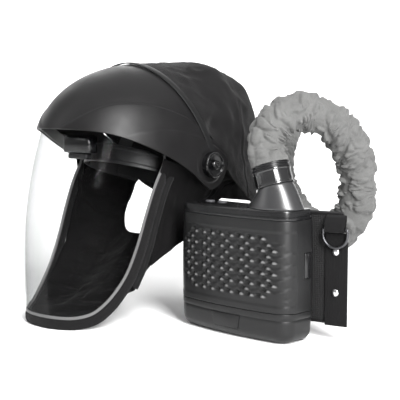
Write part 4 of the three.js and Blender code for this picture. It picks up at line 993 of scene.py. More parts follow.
def make_ring_loop(label, turn, origin):
    """Webbing folded over the bar of a D-ring."""
    ring_y, top = -6.2, PAD_HIGH - 3
    line = np.vstack([
        [[-1.0, top - 1], [-1.1, top - 6]],
        fold_line(ring_y),
        [[ring_y - 2.6, top - 9], [ring_y + 0.6, top - 3.2], [-1.6, top - 0.6]],
    ])
    line = resample(line, 90)
    tangent = unit(np.gradient(line, axis=0))
    normal = np.stack([tangent[:, 1], -tangent[:, 0]], -1)
    across = np.linspace(-12.4, 12.4, 40)
    u = (across + 12.4) / 24.8
    rib = 0.12 * np.sin(u * 24.8 * 2 * math.pi / 3.1)
    rows = []
    for half in (0.85, -0.85):
        thick = half * (0.75 + 0.25 * smooth(np.minimum(u, 1 - u) * 25, 0, 1.5)) + rib * (half > 0)
        grid = np.zeros((len(line), len(across), 3))
        grid[..., 0] = across
        grid[..., 1] = line[:, None, 0] + normal[:, None, 0] * thick
        grid[..., 2] = line[:, None, 1] + normal[:, None, 1] * thick
        rows.append(grid @ turn.T + origin)
    loop = sheet_piece(f"ring_loop_{label}", *rows, webbing_cloth, "base")
    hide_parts(f"d_ring_loop_{label}")


def fold_line(ring_y):
    return arc_points(ring_y, RING_Z, 3.55, 40, -180, 18)


def make_ring(label, turn, origin):
    """D-ring bent from one round wire."""
    ring_y, half, wire = -6.2, 15.9, 1.9
    bow = arc_points(0, RING_Z - 7, half, 0, -180, 40)
    corner = 2.6
    loop = np.vstack([
        [[half, RING_Z - 4]], bow[::1], [[-half, RING_Z - 4]],
        arc_points(-half + corner, RING_Z - corner, corner, 180, 90, 6),
        [[0.0, RING_Z]],
        arc_points(half - corner, RING_Z - corner, corner, 90, 0, 6),
        [[half, RING_Z - 4]],
    ])
    path = resample(loop, 181)[:-1]
    path = np.stack([path[:, 0], np.full(len(path), ring_y), path[:, 1]], -1)
    tangent = unit(np.roll(path, -1, 0) - np.roll(path, 1, 0))
    across = np.broadcast_to([0.0, 1.0, 0.0], path.shape)
    other = np.cross(tangent, across)
    angle = np.linspace(0, 2 * math.pi, 16, endpoint=False)
    grid = (path[:, None] + wire * (across[:, None] * np.cos(angle)[None, :, None]
                                    + other[:, None] * np.sin(angle)[None, :, None]))
    grid = np.concatenate([grid, grid[:, :1]], 1) @ turn.T + origin
    flat = grid.reshape(-1, 3)
    ring = make(f"ring_{label}_wire", flat, grid_faces(*grid.shape[:2], 0, wrap=True), dark_steel, f"ring_{label}", flat)
    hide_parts(f"d_ring_{label}")


def make_rivet(label, level, turn, origin):
    low, high = box_mm(f"belt_rivet_{label}_{level}")
    z = (low[2] + high[2]) / 2
    profile = [(0.01, 0.0), (4.6, 0.0)]
    profile += [(4.6 * math.cos(a), 0.5 + 2.1 * math.sin(a)) for a in np.linspace(0, 88, 10) * DEG]
    profile += [(0.01, 2.62)]
    base = origin + turn @ np.array([0.0, -3.4, 0.0]) + np.array([0, 0, z])
    axis = turn @ np.array([0.0, -1.0, 0.0])
    rivet = turned_piece(f"rivet_{label}_{level}", profile, base, axis, rivet_steel, "base", 48)
    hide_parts(f"belt_rivet_{label}_{level}")


def make_waist_strap():
    """Webbing round the back of the pad, folded at both ends toward the buckle."""
    low, high = box_mm("waist_strap")
    span, fold = 96.0, 9.0
    start = PAD_THICK + 1.2 + 1.1
    front = [(x, pad_front(x) + start) for x in np.linspace(-span, span, 13)]
    rear = pad_front(span) + start + 2 * fold + 4
    right = [(span + fold, pad_front(span) + start + fold + 2), (span, rear - 2)]
    left = [(-x, y) for x, y in right[::-1]]
    ends = [(-34, rear), (-52, rear), (-74, rear)]
    line = curve_through(np.array(ends + left + front + right + [(72, rear), (46, rear), (18, rear)]), 360)
    tangent = unit(np.gradient(line, axis=0))
    normal = np.stack([-tangent[:, 1], tangent[:, 0]], -1)
    v = np.linspace(0, 1, 34)
    grids = []
    for half in (0.95, -0.95):
        thick = half * (0.75 + 0.25 * smooth(np.minimum(v, 1 - v) * 26, 0, 1.5))
        thick = thick + 0.1 * np.sin(v * 26 * 2 * math.pi / 3.2) * (half > 0)
        grid = np.zeros((len(line), len(v), 3))
        grid[..., :2] = line[:, None] + normal[:, None] * thick[None, :, None]
        grid[..., 2] = low[2] + (high[2] - low[2]) * v
        grids.append(grid)
    strap = sheet_piece("waist_webbing", *grids, webbing_cloth, "base")
    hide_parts("waist_strap")


# ------------------------------------------------------------------ helmet surfaces

def dome_excess(p, grow=0.0):
    """Below zero inside the dome; p is in helmet millimetres."""
    reach = np.where(p[..., 1] < DOME_Y, DOME_FRONT, DOME_BACK) + grow
    rise = np.maximum(0, p[..., 2] - PIVOT[2]) / (DOME_HEIGHT + grow)
    return (p[..., 0] / (DOME_HALF + grow)) ** 2 + ((p[..., 1] - DOME_Y) / reach) ** 2 + rise**DOME_POWER - 1


def hood_excess(p, grow=0.0):
    plan = (np.abs(p[..., 0] / (HOOD_HALF + grow)) ** HOOD_PLAN
            + np.abs((p[..., 1] - PIVOT[1]) / (HOOD_BACK + grow)) ** HOOD_PLAN) ** (HOOD_POWER / HOOD_PLAN)
    rise = np.maximum(0, p[..., 2] - HOOD_BASE) / (HOOD_HEIGHT + grow)
    return plan + rise**HOOD_POWER - 1


def strike(excess, centre, rays, grow=0.0, reach=420.0):
    """Distance along each ray from the centre to the surface."""
    low = np.zeros(rays.shape[:-1])
    high = np.full(rays.shape[:-1], reach)
    for _ in range(34):
        middle = (low + high) / 2
        inside = excess(centre + rays * middle[..., None], grow) < 0
        low = np.where(inside, middle, low)
        high = np.where(inside, high, middle)
    return low


def slope_of(excess, points, grow=0.0, step=0.05):
    """Unit outward normals of a surface by central differences."""
    parts = []
    for axis in np.eye(3):
        parts.append(excess(points + axis * step, grow) - excess(points - axis * step, grow))
    return unit(np.stack(parts, -1))


def side_edge(line, half_width_at, count):
    """Edge of a surface along a side-view line, mirrored: left to right through the middle."""
    dense = resample(line, 3000)
    x = half_width_at(dense)
    end = np.argmax(x <= 0) if (x <= 0).any() else len(x)
    half = np.column_stack([x[:end], dense[:end]])
    half = np.vstack([half, [[0.0, *dense[min(end, len(dense) - 1)]]]])
    half = resample(half, count)
    return np.vstack([half, (half[::-1] * [-1, 1, 1])[1:]])


def dome_half_width(line, grow=0.0):
    y, z = line[:, 0], line[:, 1]
    reach = np.where(y < DOME_Y, DOME_FRONT, DOME_BACK) + grow
    rise = np.maximum(0, z - PIVOT[2]) / (DOME_HEIGHT + grow)
    left = 1 - rise**DOME_POWER - ((y - DOME_Y) / reach) ** 2
    return np.where(left > 0, (DOME_HALF + grow) * np.sqrt(np.maximum(left, 0)), 0)


def swept_rays(centre, first, second, rows):
    """Unit rays from the centre turning evenly from the first edge to the second."""
    a, b = unit(first - centre), unit(second - centre)
    angle = np.arccos(np.clip((a * b).sum(-1), -1, 1))[:, None, None]
    t = np.linspace(0, 1, rows)[None, :, None]
    whole = np.maximum(np.sin(angle), 1e-6)
    rays = (np.sin((1 - t) * angle) * a[:, None] + np.sin(t * angle) * b[:, None]) / whole
    flat = angle < 1e-4
    return unit(np.where(flat, a[:, None] * (1 - t) + b[:, None] * t, rays))


def arch_y(z):
    """The seam between shell and hood leans forward toward the crown."""
    return ARCH_LOW + (ARCH_TOP - ARCH_LOW) * (z - PIVOT[2]) / DOME_HEIGHT


def at_helmet(grid):
    return grid + np.array([HELMET_X, 0, 0])


BOSS = 34.0
BRIM_SIDE = [(1, 194), (-32, 215), (-71, 234.5), (-112, 251), (-150, 257.5), (-200, 259)]


def make_shell():
    """Brow shell with a swept crease over the temple and a raised pad round each pivot."""
    boss = arc_points(PIVOT[1], PIVOT[2], BOSS, -90, 38, 40)
    rear = np.vstack([boss, [[arch_y(246), 246]], [[arch_y(360), 360]]])
    front_line = curve_through([(PIVOT[1] - 4, PIVOT[2] - BOSS + 3), (14, 183), *BRIM_SIDE], 400)
    front = np.vstack([boss[:1], front_line[6:]])
    columns, rows = 150, 120
    rear_edge = side_edge(rear, dome_half_width, columns)
    front_edge = side_edge(front, dome_half_width, columns)
    centre = np.array([0.0, 6.0, 214.0])
    rays = swept_rays(centre, rear_edge, front_edge, rows)
    points = centre + rays * strike(dome_excess, centre, rays)[..., None]
    normal = slope_of(dome_excess, points)
    y, z = points[..., 1], points[..., 2]
    ridge = 291 - np.where(y < -85, 0.0071, 0.0031) * (y + 85) ** 2
    below = ridge - z
    shape = 1.5 * smooth(below, -0.6, 2.2) * np.exp(-np.maximum(below, 0) / 38)
    lower = 256 - 0.0032 * (y + 46) ** 2 - z
    shape += 1.1 * smooth(lower, -0.6, 2.0) * np.exp(-np.maximum(lower, 0) / 60) * smooth(y, -110, -55)
    off = np.hypot(y - PIVOT[1], z - PIVOT[2])
    shape += 0.8 * (1 - smooth(off, 23, 26))
    outer = points + normal * (shape - 0.6)[..., None]
    inner = points - normal * 2.6
    shell = sheet_piece("brow_dome", at_helmet(outer), at_helmet(inner), shell_plastic, "base")
    for side in (-1, 1):
        low, high = sorted((HELMET_X + side * 90, HELMET_X + side * 130))
        carve(shell, *prism(arc_points(PIVOT[1], PIVOT[2], 4.6, 0, 350, 36), "x", low, high))
    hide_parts("brow_shell")


def make_band():
    """Grey edging over the shell's rear edge."""
    columns = 160
    top = 360
    low, wide = 224, 9.5
    rear = side_edge([(arch_y(low) + 1, low), (arch_y(top) + 1, top)], lambda q: dome_half_width(q, 2), columns)
    front = side_edge([(arch_y(low) + 1 - wide, low), (arch_y(top) + 1 - wide, top)],
                      lambda q: dome_half_width(q, 2), columns)
    centre = np.array([0.0, 6.0, 214.0])
    rays = swept_rays(centre, rear, front, 12)
    crown = 0.75 + 0.35 * np.sin(np.linspace(0, math.pi, 12))
    points = centre + rays * strike(dome_excess, centre, rays, 1.2)[..., None]
    normal = slope_of(dome_excess, points, 1.2)
    outer = points + normal * (1.2 * crown)[None, :, None]
    inner = points - normal * 0.3
    band = sheet_piece("hood_edging", at_helmet(outer), at_helmet(inner), band_plastic, "base", bulge=0.5)
    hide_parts("hood_band")


# ------------------------------------------------------------------ visor and its trim

VISOR_EDGE = [(-27, 236), (-30, 214), (-48, 178), (-62, 143), (-77, 101), (-93, 67),
              (-108, 46), (-122, 31), (-137, 19.5), (-156, 14.2), (-178, 14.6), (-205, 17)]
VISOR_EDGE_LINE = curve_through(VISOR_EDGE, 1600)


def visor_reach(z):
    fall = np.where(z > 95, 0.0013, 0.0003)
    return VISOR_REACH - fall * (z - 95) ** 2


def visor_half_width(line, grow=0.0):
    y, z = line[:, 0], line[:, 1]
    forward = np.maximum(0, (VISOR_Y - y) / (visor_reach(z) + grow))
    left = 1 - forward**VISOR_PLAN
    return np.where(left > 0, (VISOR_HALF + grow) * np.maximum(left, 0) ** (1 / VISOR_PLAN), 0)


def visor_excess(p, grow=0.0):
    y = VISOR_Y - p[..., 1]
    return (np.abs(p[..., 0] / (VISOR_HALF + grow)) ** VISOR_PLAN
            + np.maximum(0, y / (visor_reach(p[..., 2]) + grow)) ** VISOR_PLAN) - 1


def plan_angle(points, grow=0.0):
    """Angle of a visor point round its plan curve: 0 in front, positive toward +x."""
    reach = visor_reach(points[..., 2]) + grow
    return np.arctan2(np.sign(points[..., 0]) * np.abs(points[..., 0] / (VISOR_HALF + grow)) ** (VISOR_PLAN / 2),
                      np.maximum(0, (VISOR_Y - points[..., 1]) / reach) ** (VISOR_PLAN / 2))


def visor_surface(angle, z, grow=0.0):
    power = 2 / VISOR_PLAN
    x = (VISOR_HALF + grow) * np.sign(np.sin(angle)) * np.abs(np.sin(angle)) ** power
    y = VISOR_Y - (visor_reach(z) + grow) * np.abs(np.cos(angle)) ** power
    return np.stack([x, y, z], -1)


def edge_offset(distance, start=0.0, end=1.0):
    """The visor's rear edge moved away from the visor by a distance, in side view."""
    tangent = unit(np.gradient(VISOR_EDGE_LINE, axis=0))
    moved = VISOR_EDGE_LINE + np.stack([-tangent[:, 1], tangent[:, 0]], -1) * distance
    return moved[int(start * 1599):int(end * 1599) + 1]


def visor_band_grid(first, second, columns, rows, start=0.0):
    """Angle and height grid of a strip of the visor's surface between two edge offsets."""
    a = side_edge(edge_offset(first, start), visor_half_width, columns)
    b = side_edge(edge_offset(second, start), visor_half_width, columns)
    t = np.linspace(0, 1, rows)[None, :]
    angle = plan_angle(a)[:, None] * (1 - t) + plan_angle(b)[:, None] * t
    z = a[:, None, 2] * (1 - t) + b[:, None, 2] * t
    return angle, z


def make_visor():
    columns, rows = 110, 150
    top = side_edge(curve_through([(-27, 236), (-60, 247.5), (-100, 255), (-150, 261.5), (-210, 262)], 500),
                    visor_half_width, columns)
    low = side_edge(edge_offset(0.0), visor_half_width, columns)
    t = np.linspace(0, 1, rows)[None, :]
    angle = plan_angle(top)[:, None] * (1 - t) + plan_angle(low)[:, None] * t
    z = top[:, None, 2] * (1 - t) + low[:, None, 2] * t
    outer = visor_surface(angle, z)
    inner = visor_surface(angle, z, -1.5)
    visor = sheet_piece("visor_pane", at_helmet(outer), at_helmet(inner), visor_clear, "base", sharp=60)
    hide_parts("visor")
    # Bead along the visor's rear edge: the visor's own edge, coloured light grey as a painted highlight.
    angle, z = visor_band_grid(-2.3, 0.3, 300, 6, 0.02)
    outer = visor_surface(angle, z, 0.55)
    inner = visor_surface(angle, z, -2.0)
    edge = sheet_piece("visor_edge_bead", at_helmet(outer), at_helmet(inner), edge_highlight_plastic, "base", bulge=0.4)


def make_trim():
    """Padded fabric trim with a rolled face and two stitched rows."""
    columns, rows = 420, 26
    angle, z = visor_band_grid(0.9, 13.4, columns, rows, 0.02)
    t = np.linspace(0, 1, rows)[None, :]
    roll = 1.5 * np.sin(math.pi * t) ** 0.5
    stitch = 0.45 * (np.exp(-((t - 0.12) / 0.035) ** 2) + np.exp(-((t - 0.88) / 0.035) ** 2))
    run = np.linspace(0, 1, len(angle))[:, None]
    pucker = 0.3 * value_noise(np.stack([run * 90 + 0 * t, 2 * t + 0 * run, 0 * run * t], -1), 4)
    grow = 0.3 + roll - stitch + pucker * np.sin(math.pi * t)
    outer = visor_surface(angle, z)
    normal = slope_of(visor_excess, outer)
    front = outer + normal * grow[..., None]
    back = outer - normal * (1.2 + 1.4 * np.sin(math.pi * t) ** 0.5 + 0 * run)[..., None]
    trim = sheet_piece("visor_padding", at_helmet(front), at_helmet(back), trim_cloth, "base", bulge=0.5)
    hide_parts("visor_trim")


def seal_rim(count):
    """Rim of the face seal from the left temple round the chin to the right temple."""
    s = np.linspace(0, 1, 400)
    last = np.argmax(visor_half_width(edge_offset(3.0), -7.0) <= 0) / 1599
    at = 0.03 + (last - 0.03) * s
    low = smooth(at, 0.40, 0.68)
    tuck = 3.4 + 3.6 * smooth(at, 0.3, 0.475)
    tangent = unit(np.gradient(VISOR_EDGE_LINE, axis=0))
    at = at * 1599
    base = np.stack([np.interp(at, np.arange(1600), VISOR_EDGE_LINE[:, k]) for k in (0, 1)], -1)
    way = np.stack([np.interp(at, np.arange(1600), tangent[:, k]) for k in (0, 1)], -1)
    side = base + np.stack([-way[:, 1], way[:, 0]], -1) * (11 - 8 * low)[:, None]
    half = np.array([visor_half_width(p[None], -k)[0] for p, k in zip(side, tuck)])
    half[-1] = 0
    line = resample(np.column_stack([half, side]), count)
    return np.vstack([line, (line[::-1] * [-1, 1, 1])[1:]])


SEAL_FACE = [(86, 12, 202), (85, 34, 189), (72, 47, 178), (62, 40, 160), (57, 30, 146), (56, 22, 127),
             (50, 17, 112), (30, 6, 106), (0, -6, 107)]


def make_seal():
    """Slack cloth bib from the trim to the face opening, creased toward the chin."""
    half = 200
    rim = seal_rim(half)
    face = curve_through(SEAL_FACE, half)
    face = np.vstack([face, (face[::-1] * [-1, 1, 1])[1:]])
    rows = 110
    s = np.linspace(0, 1, len(rim))[:, None]
    t = np.linspace(0, 1, rows)[None, :]
    points = rim[:, None] * (1 - t[..., None]) + face[:, None] * t[..., None]
    slack = 22 * np.sin(math.pi * t) * np.sin(math.pi * s) ** 2
    points[..., 2] -= slack
    across = np.gradient(points, axis=0)
    along = np.gradient(points, axis=1)
    normal = unit(np.cross(across, along))
    free = np.sin(math.pi * t) ** 0.7 * np.sin(math.pi * s) ** 0.3
    x, y, z = points[..., 0], points[..., 1], points[..., 2]
    fold_at = np.stack([(x + 0.5 * y) / 62, (z + 0.55 * y - 0.35 * x) / 24, (y - z) / 90], -1)
    folds = np.clip(1 - np.abs(fractal(fold_at, 2, 41)) * 3.2, -0.3, 1)
    soft = fractal(points / 30, 3, 43)
    drape = free * (4.2 * folds + 3.0 * soft)
    hem = 0.5 * smooth(t, 0.955, 0.965) + 0.5 * (1 - smooth(t, 0.03, 0.04))
    front = points + normal * (0.7 + drape + 0.5 * hem)[..., None]
    back = points + normal * (-0.7 + drape - 0.5 * hem)[..., None]
    seal = sheet_piece("face_bib", at_helmet(front), at_helmet(back), seal_cloth, "base", bulge=0.4)
    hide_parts("face_seal")


# ------------------------------------------------------------------ hood

def hood_points(columns, rows):
    """Grid of the hood's outer face, from the arch (t = 0) to the hem (t = 1)."""
    gap = 1.5
    pivot_arc = arc_points(PIVOT[1], PIVOT[2], 38, -12, 36, 24)
    rear = np.vstack([pivot_arc, [[arch_y(246) + 5, 246]], [[arch_y(256) + gap, 256]], [[arch_y(370) + gap, 370]]])
    hem = curve_through([tuple(pivot_arc[0]), (84, 182), (122, 156), (170, 145), (240, 144)], 300)

    def dome_width(line):
        return blended_width(line)

    first = side_edge(rear, dome_width, columns)
    second = side_edge(hem, dome_width, columns)
    centre = np.array([0.0, 55.0, 222.0])
    rays = swept_rays(centre, first, second, rows)
    on_hood = strike(hood_excess, centre, rays)
    on_dome = strike(dome_excess, centre, rays, 0.4)
    points = centre + rays * on_hood[..., None]
    weight = 1 - smooth(points[..., 1], PIVOT[1], PIVOT[1] + 60)
    return centre + rays * (on_hood + (np.minimum(on_dome, on_hood + 4) - on_hood) * weight)[..., None], rays


def blended_width(line):
    """Half width of the hood at side-view points, drawn to the dome near the arch."""
    y, z = line[:, 0], line[:, 1]
    rise = np.maximum(0, z - HOOD_BASE) / HOOD_HEIGHT
    plan = np.maximum(0, 1 - rise**HOOD_POWER) ** (HOOD_PLAN / HOOD_POWER)
    left = plan - np.abs((y - PIVOT[1]) / HOOD_BACK) ** HOOD_PLAN
    own = np.where(left > 0, HOOD_HALF * np.maximum(left, 0) ** (1 / HOOD_PLAN), 0)
    weight = 1 - smooth(y, PIVOT[1], PIVOT[1] + 60)
    return own * (1 - weight) + np.minimum(dome_half_width(line, 0.4), own + 4) * weight


def make_hood():
    columns, rows = 120, 96
    points, rays = hood_points(columns, rows)
    sag = 10 * np.exp(-((points[..., 1] - 112) / 40) ** 2) * smooth(points[..., 2], 285, 345)
    points[..., 2] -= sag
    normal = unit(np.cross(np.gradient(points, axis=0), np.gradient(points, axis=1)))
    normal *= np.sign((normal * rays).sum(-1))[..., None]
    t = np.linspace(0, 1, rows)[None, :]
    s = np.linspace(0, 1, len(points))[:, None]
    free = smooth(t, 0.0, 0.16) * np.ones_like(s)
    x, y, z = points[..., 0], points[..., 1], points[..., 2]
    dent = np.exp(-(((y - 42) / 20) ** 2 + ((z - 263) / 12) ** 2)) * (np.abs(x) > 60)
    fold = np.exp(-(((y - 30 - 0.5 * (z - 262)) / 9) ** 2)) * smooth(z, 255, 275) * (1 - smooth(z, 300, 322))
    soft = fractal(points / 34, 3, 61)
    ridges = 1 - np.abs(fractal(np.stack([x / 30, (y + 0.7 * z) / 28, (z - 0.4 * y) / 70], -1), 2, 67)) * 2.2
    drape = free * (3.4 * soft + 3.0 * np.clip(ridges, -0.6, 1) - 7.0 * dent + 2.4 * fold)
    seam_y = 104 + 0.0012 * (z - 270) ** 2
    seam = np.exp(-((y - seam_y) / 1.6) ** 2) * (np.abs(x) > 40)
    drape += 1.2 * seam - 0.8 * np.exp(-((y - seam_y + 3.4) / 1.0) ** 2) * (np.abs(x) > 40)
    hem = smooth(t, 0.93, 0.94) * np.ones_like(s)
    outer = points + normal * (drape + 0.5 * hem - 0.6)[..., None]
    inner = points + normal * (drape - 2.0 - 0.3 * hem)[..., None]
    hood = sheet_piece("hood_bag", at_helmet(outer), at_helmet(inner), hood_cloth, "base", bulge=0.4)
    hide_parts("hood")
    collar = rounded_loop([(17.9, -14), (21, -14), (21, 1), (26, 1), (26, 5), (21, 7), (21, 10), (17.9, 10)], 0.8)
    port = at_helmet(np.array([0.0, PIVOT[1] + HOOD_BACK, 214.0]))
    ring = turned_piece("hood_port_collar", collar, port, np.array([0.0, 1.0, 0.0]), hose_rubber, "base", 72)


CURTAIN_TOP = [(95, -37, 217), (98, -6, 207), (103, 30, 193), (105, 56, 190), (106, 92, 184)]
CURTAIN_LOW = [(82, -52, 76), (84, -32, 88), (82, 4, 103), (80, 34, 117), (88, 60, 148), (104, 92, 180)]


def make_curtains():
    """Loose neck panels hanging from the hood behind the padded trim, one on each side."""
    columns, rows = 130, 90
    top, low = curve_through(CURTAIN_TOP, columns), curve_through(CURTAIN_LOW, columns)
    t = np.linspace(0, 1, rows)[None, :]
    s = np.linspace(0, 1, columns)[:, None]
    for label, side in (("left", 1), ("right", -1)):
        points = top[:, None] * (1 - t[..., None]) + low[:, None] * t[..., None]
        points[..., 0] -= 9 * np.sin(math.pi * t) * (1 - 0.5 * s)
        fold_at = np.stack([s * 5.5 + 0.9 * t + side, t * 1.6 - s + 0 * s, 0 * s + 0 * t + side * 3.0], -1)
        folds = np.clip(1 - np.abs(fractal(fold_at, 2, 83)) * 3.4, -0.4, 1)
        soft = fractal(points / 32 + side, 2, 85)
        drape = smooth(t, 0, 0.2) * (4.0 * folds + 3.0 * soft)
        hem = 0.6 * smooth(t, 0.955, 0.965)
        outer, inner = points.copy(), points.copy()
        outer[..., 0] += drape + 0.7 + hem
        inner[..., 0] += drape - 0.7 - hem
        for grid in (outer, inner):
            grid[..., 0] *= side
        panel = sheet_piece(f"neck_panel_{label}", at_helmet(outer), at_helmet(inner), seal_cloth, "base", bulge=0.4)


# ------------------------------------------------------------------ headgear

HEAD_TILT, HEAD_Y, HEAD_Z, HEAD_HALF, HEAD_LONG = -16 * DEG, 12.0, 200.0, 76.0, 91.0


def at_head(points):
    """From the tilted headgear's own axes to the frame."""
    c, s = math.cos(HEAD_TILT), math.sin(HEAD_TILT)
    turn = np.array([[1, 0, 0], [0, c, -s], [0, s, c]])
    return points @ turn.T + np.array([HELMET_X, HEAD_Y, HEAD_Z])


def head_band(start, end, inset, low, high, columns, rows, shape=None):
    """Grid of a stretch of the oval head ring; shape(s, t) pushes it outward."""
    s, t = np.meshgrid(np.linspace(0, 1, columns), np.linspace(0, 1, rows), indexing="ij")
    angle = (start + (end - start) * s) * DEG
    push = -inset + (shape(s, t) if shape else 0)
    return np.stack([(HEAD_HALF + push) * np.sin(angle), -(HEAD_LONG + push) * np.cos(angle), low + (high - low) * t], -1)


def make_headgear():
    def ribbed(s, t):
        return -0.5 * (smooth(t, 0.16, 0.2) * (1 - smooth(t, 0.8, 0.84)))

    outer = head_band(-122, 122, 0.1, -12, 12, 220, 30, ribbed)
    inner = head_band(-122, 122, 1.9, -12, 12, 220, 30)
    band = sheet_piece("head_band", at_head(outer), at_head(inner), strap_plastic, "headgear", bulge=0.4)
    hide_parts("headband_front")

    def plump(sign):
        def surface(s, t):
            edge = (np.sin(math.pi * np.clip(t, 0, 1)) ** 0.4) * (np.sin(math.pi * s) ** 0.2)
            quilt = 0.5 * np.abs(np.sin(s * math.pi * 9)) ** 0.5
            return sign * (1.0 + 1.4 * edge) + (-quilt * edge if sign < 0 else 0)
        return surface

    pad = sheet_piece("brow_pad", at_head(head_band(-48, 48, 4.9, -11, 11, 140, 26, plump(1))),
                      at_head(head_band(-48, 48, 4.9, -11, 11, 140, 26, plump(-1))), trim_cloth, "headgear", bulge=0.6)
    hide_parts("sweatband")

    outer = head_band(98, 262, 2.7, -9, 9, 180, 20, ribbed)
    inner = head_band(98, 262, 4.3, -9, 9, 180, 20)
    nape = sheet_piece("nape_strap", at_head(outer), at_head(inner), strap_plastic, "nape", bulge=0.4)
    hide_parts("nape_band")

    s, t = np.meshgrid(np.linspace(0, 1, 180), np.linspace(0, 1, 22), indexing="ij")
    grids = []
    for grow in (0.85, -0.85):
        lip = 0.4 * (1 - smooth(t, 0.1, 0.16) * (1 - smooth(t, 0.84, 0.9))) - 0.4
        push = grow + (lip if grow > 0 else 0)
        half = HEAD_HALF - 8.8
        grids.append(np.stack([-(half + push) * np.cos(math.pi * s), 10 + 24 * (t - 0.5),
                               10.6 + (84 + push) * np.sin(math.pi * s)], -1))
    crown = sheet_piece("crown_band", at_head(grids[0]), at_head(grids[1]), strap_plastic, "headgear", bulge=0.4)
    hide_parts("crown_strap")


def make_knobs():
    """Glossy temple knobs: a dished disc with a proud centre cap."""
    inner, radius, face = 116.6, 17.5, 127.0
    disc = rounded_loop([
        (4.5, inner), (radius - 0.8, inner), (radius, inner + 1.6), (radius, face - 1.6), (radius - 1.2, face),
        (radius - 3.0, face), (radius - 4.2, face - 1.8), (6.6, face - 2.4), (4.5, face - 3.4),
    ], 0.7)
    cap = rounded_loop([
        (0.01, face - 3.2), (6.4, face - 3.2), (6.4, face + 1.4), (5.2, face + 2.4), (3.0, face + 2.4),
        (2.6, face + 1.2), (0.01, face + 1.2),
    ], 0.5)

    def scallop(angle, points):
        rim = (points[:, 0] > radius - 0.9) & (points[:, 1] > inner + 2)
        points[rim, 0] -= 0.4 * max(0.0, math.cos(angle * 14)) ** 8
        return points

    for label, side in (("left", 1), ("right", -1)):
        axis = np.array([side, 0.0, 0.0])
        origin = at_helmet(np.array([0.0, PIVOT[1], PIVOT[2]]))
        body = f"knob_{label}"
        knob = turned_piece(f"temple_knob_{label}", disc, origin, axis, knob_plastic, body, 192, scallop)
        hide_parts(f"pivot_knob_{label}")
        centre = turned_piece(f"knob_cap_{label}", cap, origin, axis, knob_plastic, body, 64)


def make_ledge():
    """Liner inside the shell's brim; its pale grey is painted light standing in for the lit underside of the brim."""
    columns = 150
    line = curve_through(BRIM_SIDE, 400)[110:]

    def inner_width(q):
        return dome_half_width(q, -3.2)

    low = side_edge(line + [0, 1.2], inner_width, columns)
    high = side_edge(line + [0, 17], inner_width, columns)
    centre = np.array([0.0, 6.0, 214.0])
    rays = swept_rays(centre, high, low, 10)
    outer = centre + rays * strike(dome_excess, centre, rays, -3.0)[..., None]
    inner = centre + rays * strike(dome_excess, centre, rays, -4.8)[..., None]
    liner = sheet_piece("brim_liner", at_helmet(outer), at_helmet(inner), liner_painted_light, "base", bulge=0.4)


def make_tapes():
    """Stitched strip behind the padded trim, on each side."""
    for label, side in (("left", 1), ("right", -1)):
        count, rows = 160, 12
        first = resample(edge_offset(14.6, 0.03, 0.6), count)
        second = resample(edge_offset(24.0, 0.03, 0.6), count)
        t = np.linspace(0, 1, rows)[None, :, None]
        line = first[:, None] * (1 - t) + second[:, None] * t
        half = visor_half_width(line.reshape(-1, 2)).reshape(count, rows)
        run = np.linspace(0, 1, count)[:, None]
        ripple = 0.6 * value_noise(np.stack([run * 16 + 0 * t[..., 0], t[..., 0] * 1.5 + 0 * run, 0 * run * t[..., 0]], -1), 9)
        roll = 0.7 * np.sin(math.pi * t[..., 0]) ** 0.5
        stitch = 0.35 * np.exp(-((t[..., 0] - 0.5) / 0.07) ** 2)
        outer = np.concatenate([(side * (half + ripple + roll - stitch))[..., None], line], -1)
        inner = np.concatenate([(side * (half + ripple - 1.2))[..., None], line], -1)
        tape = sheet_piece(f"side_tape_{label}", at_helmet(outer), at_helmet(inner), webbing_cloth, "base", bulge=0.4)


def soft_block(name, low, high, corner, crown, material, body):
    """Moulded block with rounded plan corners and a crowned top; corners in helmet millimetres."""
    low, high = np.array(low, float), np.array(high, float)
    middle, half = (low + high) / 2, (high - low) / 2
    plan = np.vstack([
        arc_points(half[0] - corner, half[1] - corner, corner, 0, 90, 8),
        arc_points(corner - half[0], half[1] - corner, corner, 90, 180, 8),
        arc_points(corner - half[0], corner - half[1], corner, 180, 270, 8),
        arc_points(half[0] - corner, corner - half[1], corner, 270, 360, 8),
    ])
    rings = []
    for z, inset in ((-half[2], 2.2), (-half[2] + 0.5, 0.8), (-half[2] + 2, 0), (half[2] - 2, 0),
                     (half[2] - 0.5, 0.8), (half[2], 2.2)):
        ring = plan * (1 - inset / half[:2])
        rise = crown * (1 - (ring[:, 0] / half[0]) ** 2)
        rings.append(np.column_stack([ring, np.full(len(ring), z) + rise]) + middle)
    piece = loft_piece(name, at_helmet(np.array(rings)), material, body)


def make_outlet():
    """Air outlet housing under the brow, ahead of the duct."""
    soft_block("outlet_box", (-28, -112, 224), (28, -93, 247), 6, 2, knob_plastic, "base")
    soft_block("outlet_lip", (-20, -110, 216), (20, -96, 223.6), 5, 1, black_plastic, "base")


# ------------------------------------------------------------------ carried-over frame parts

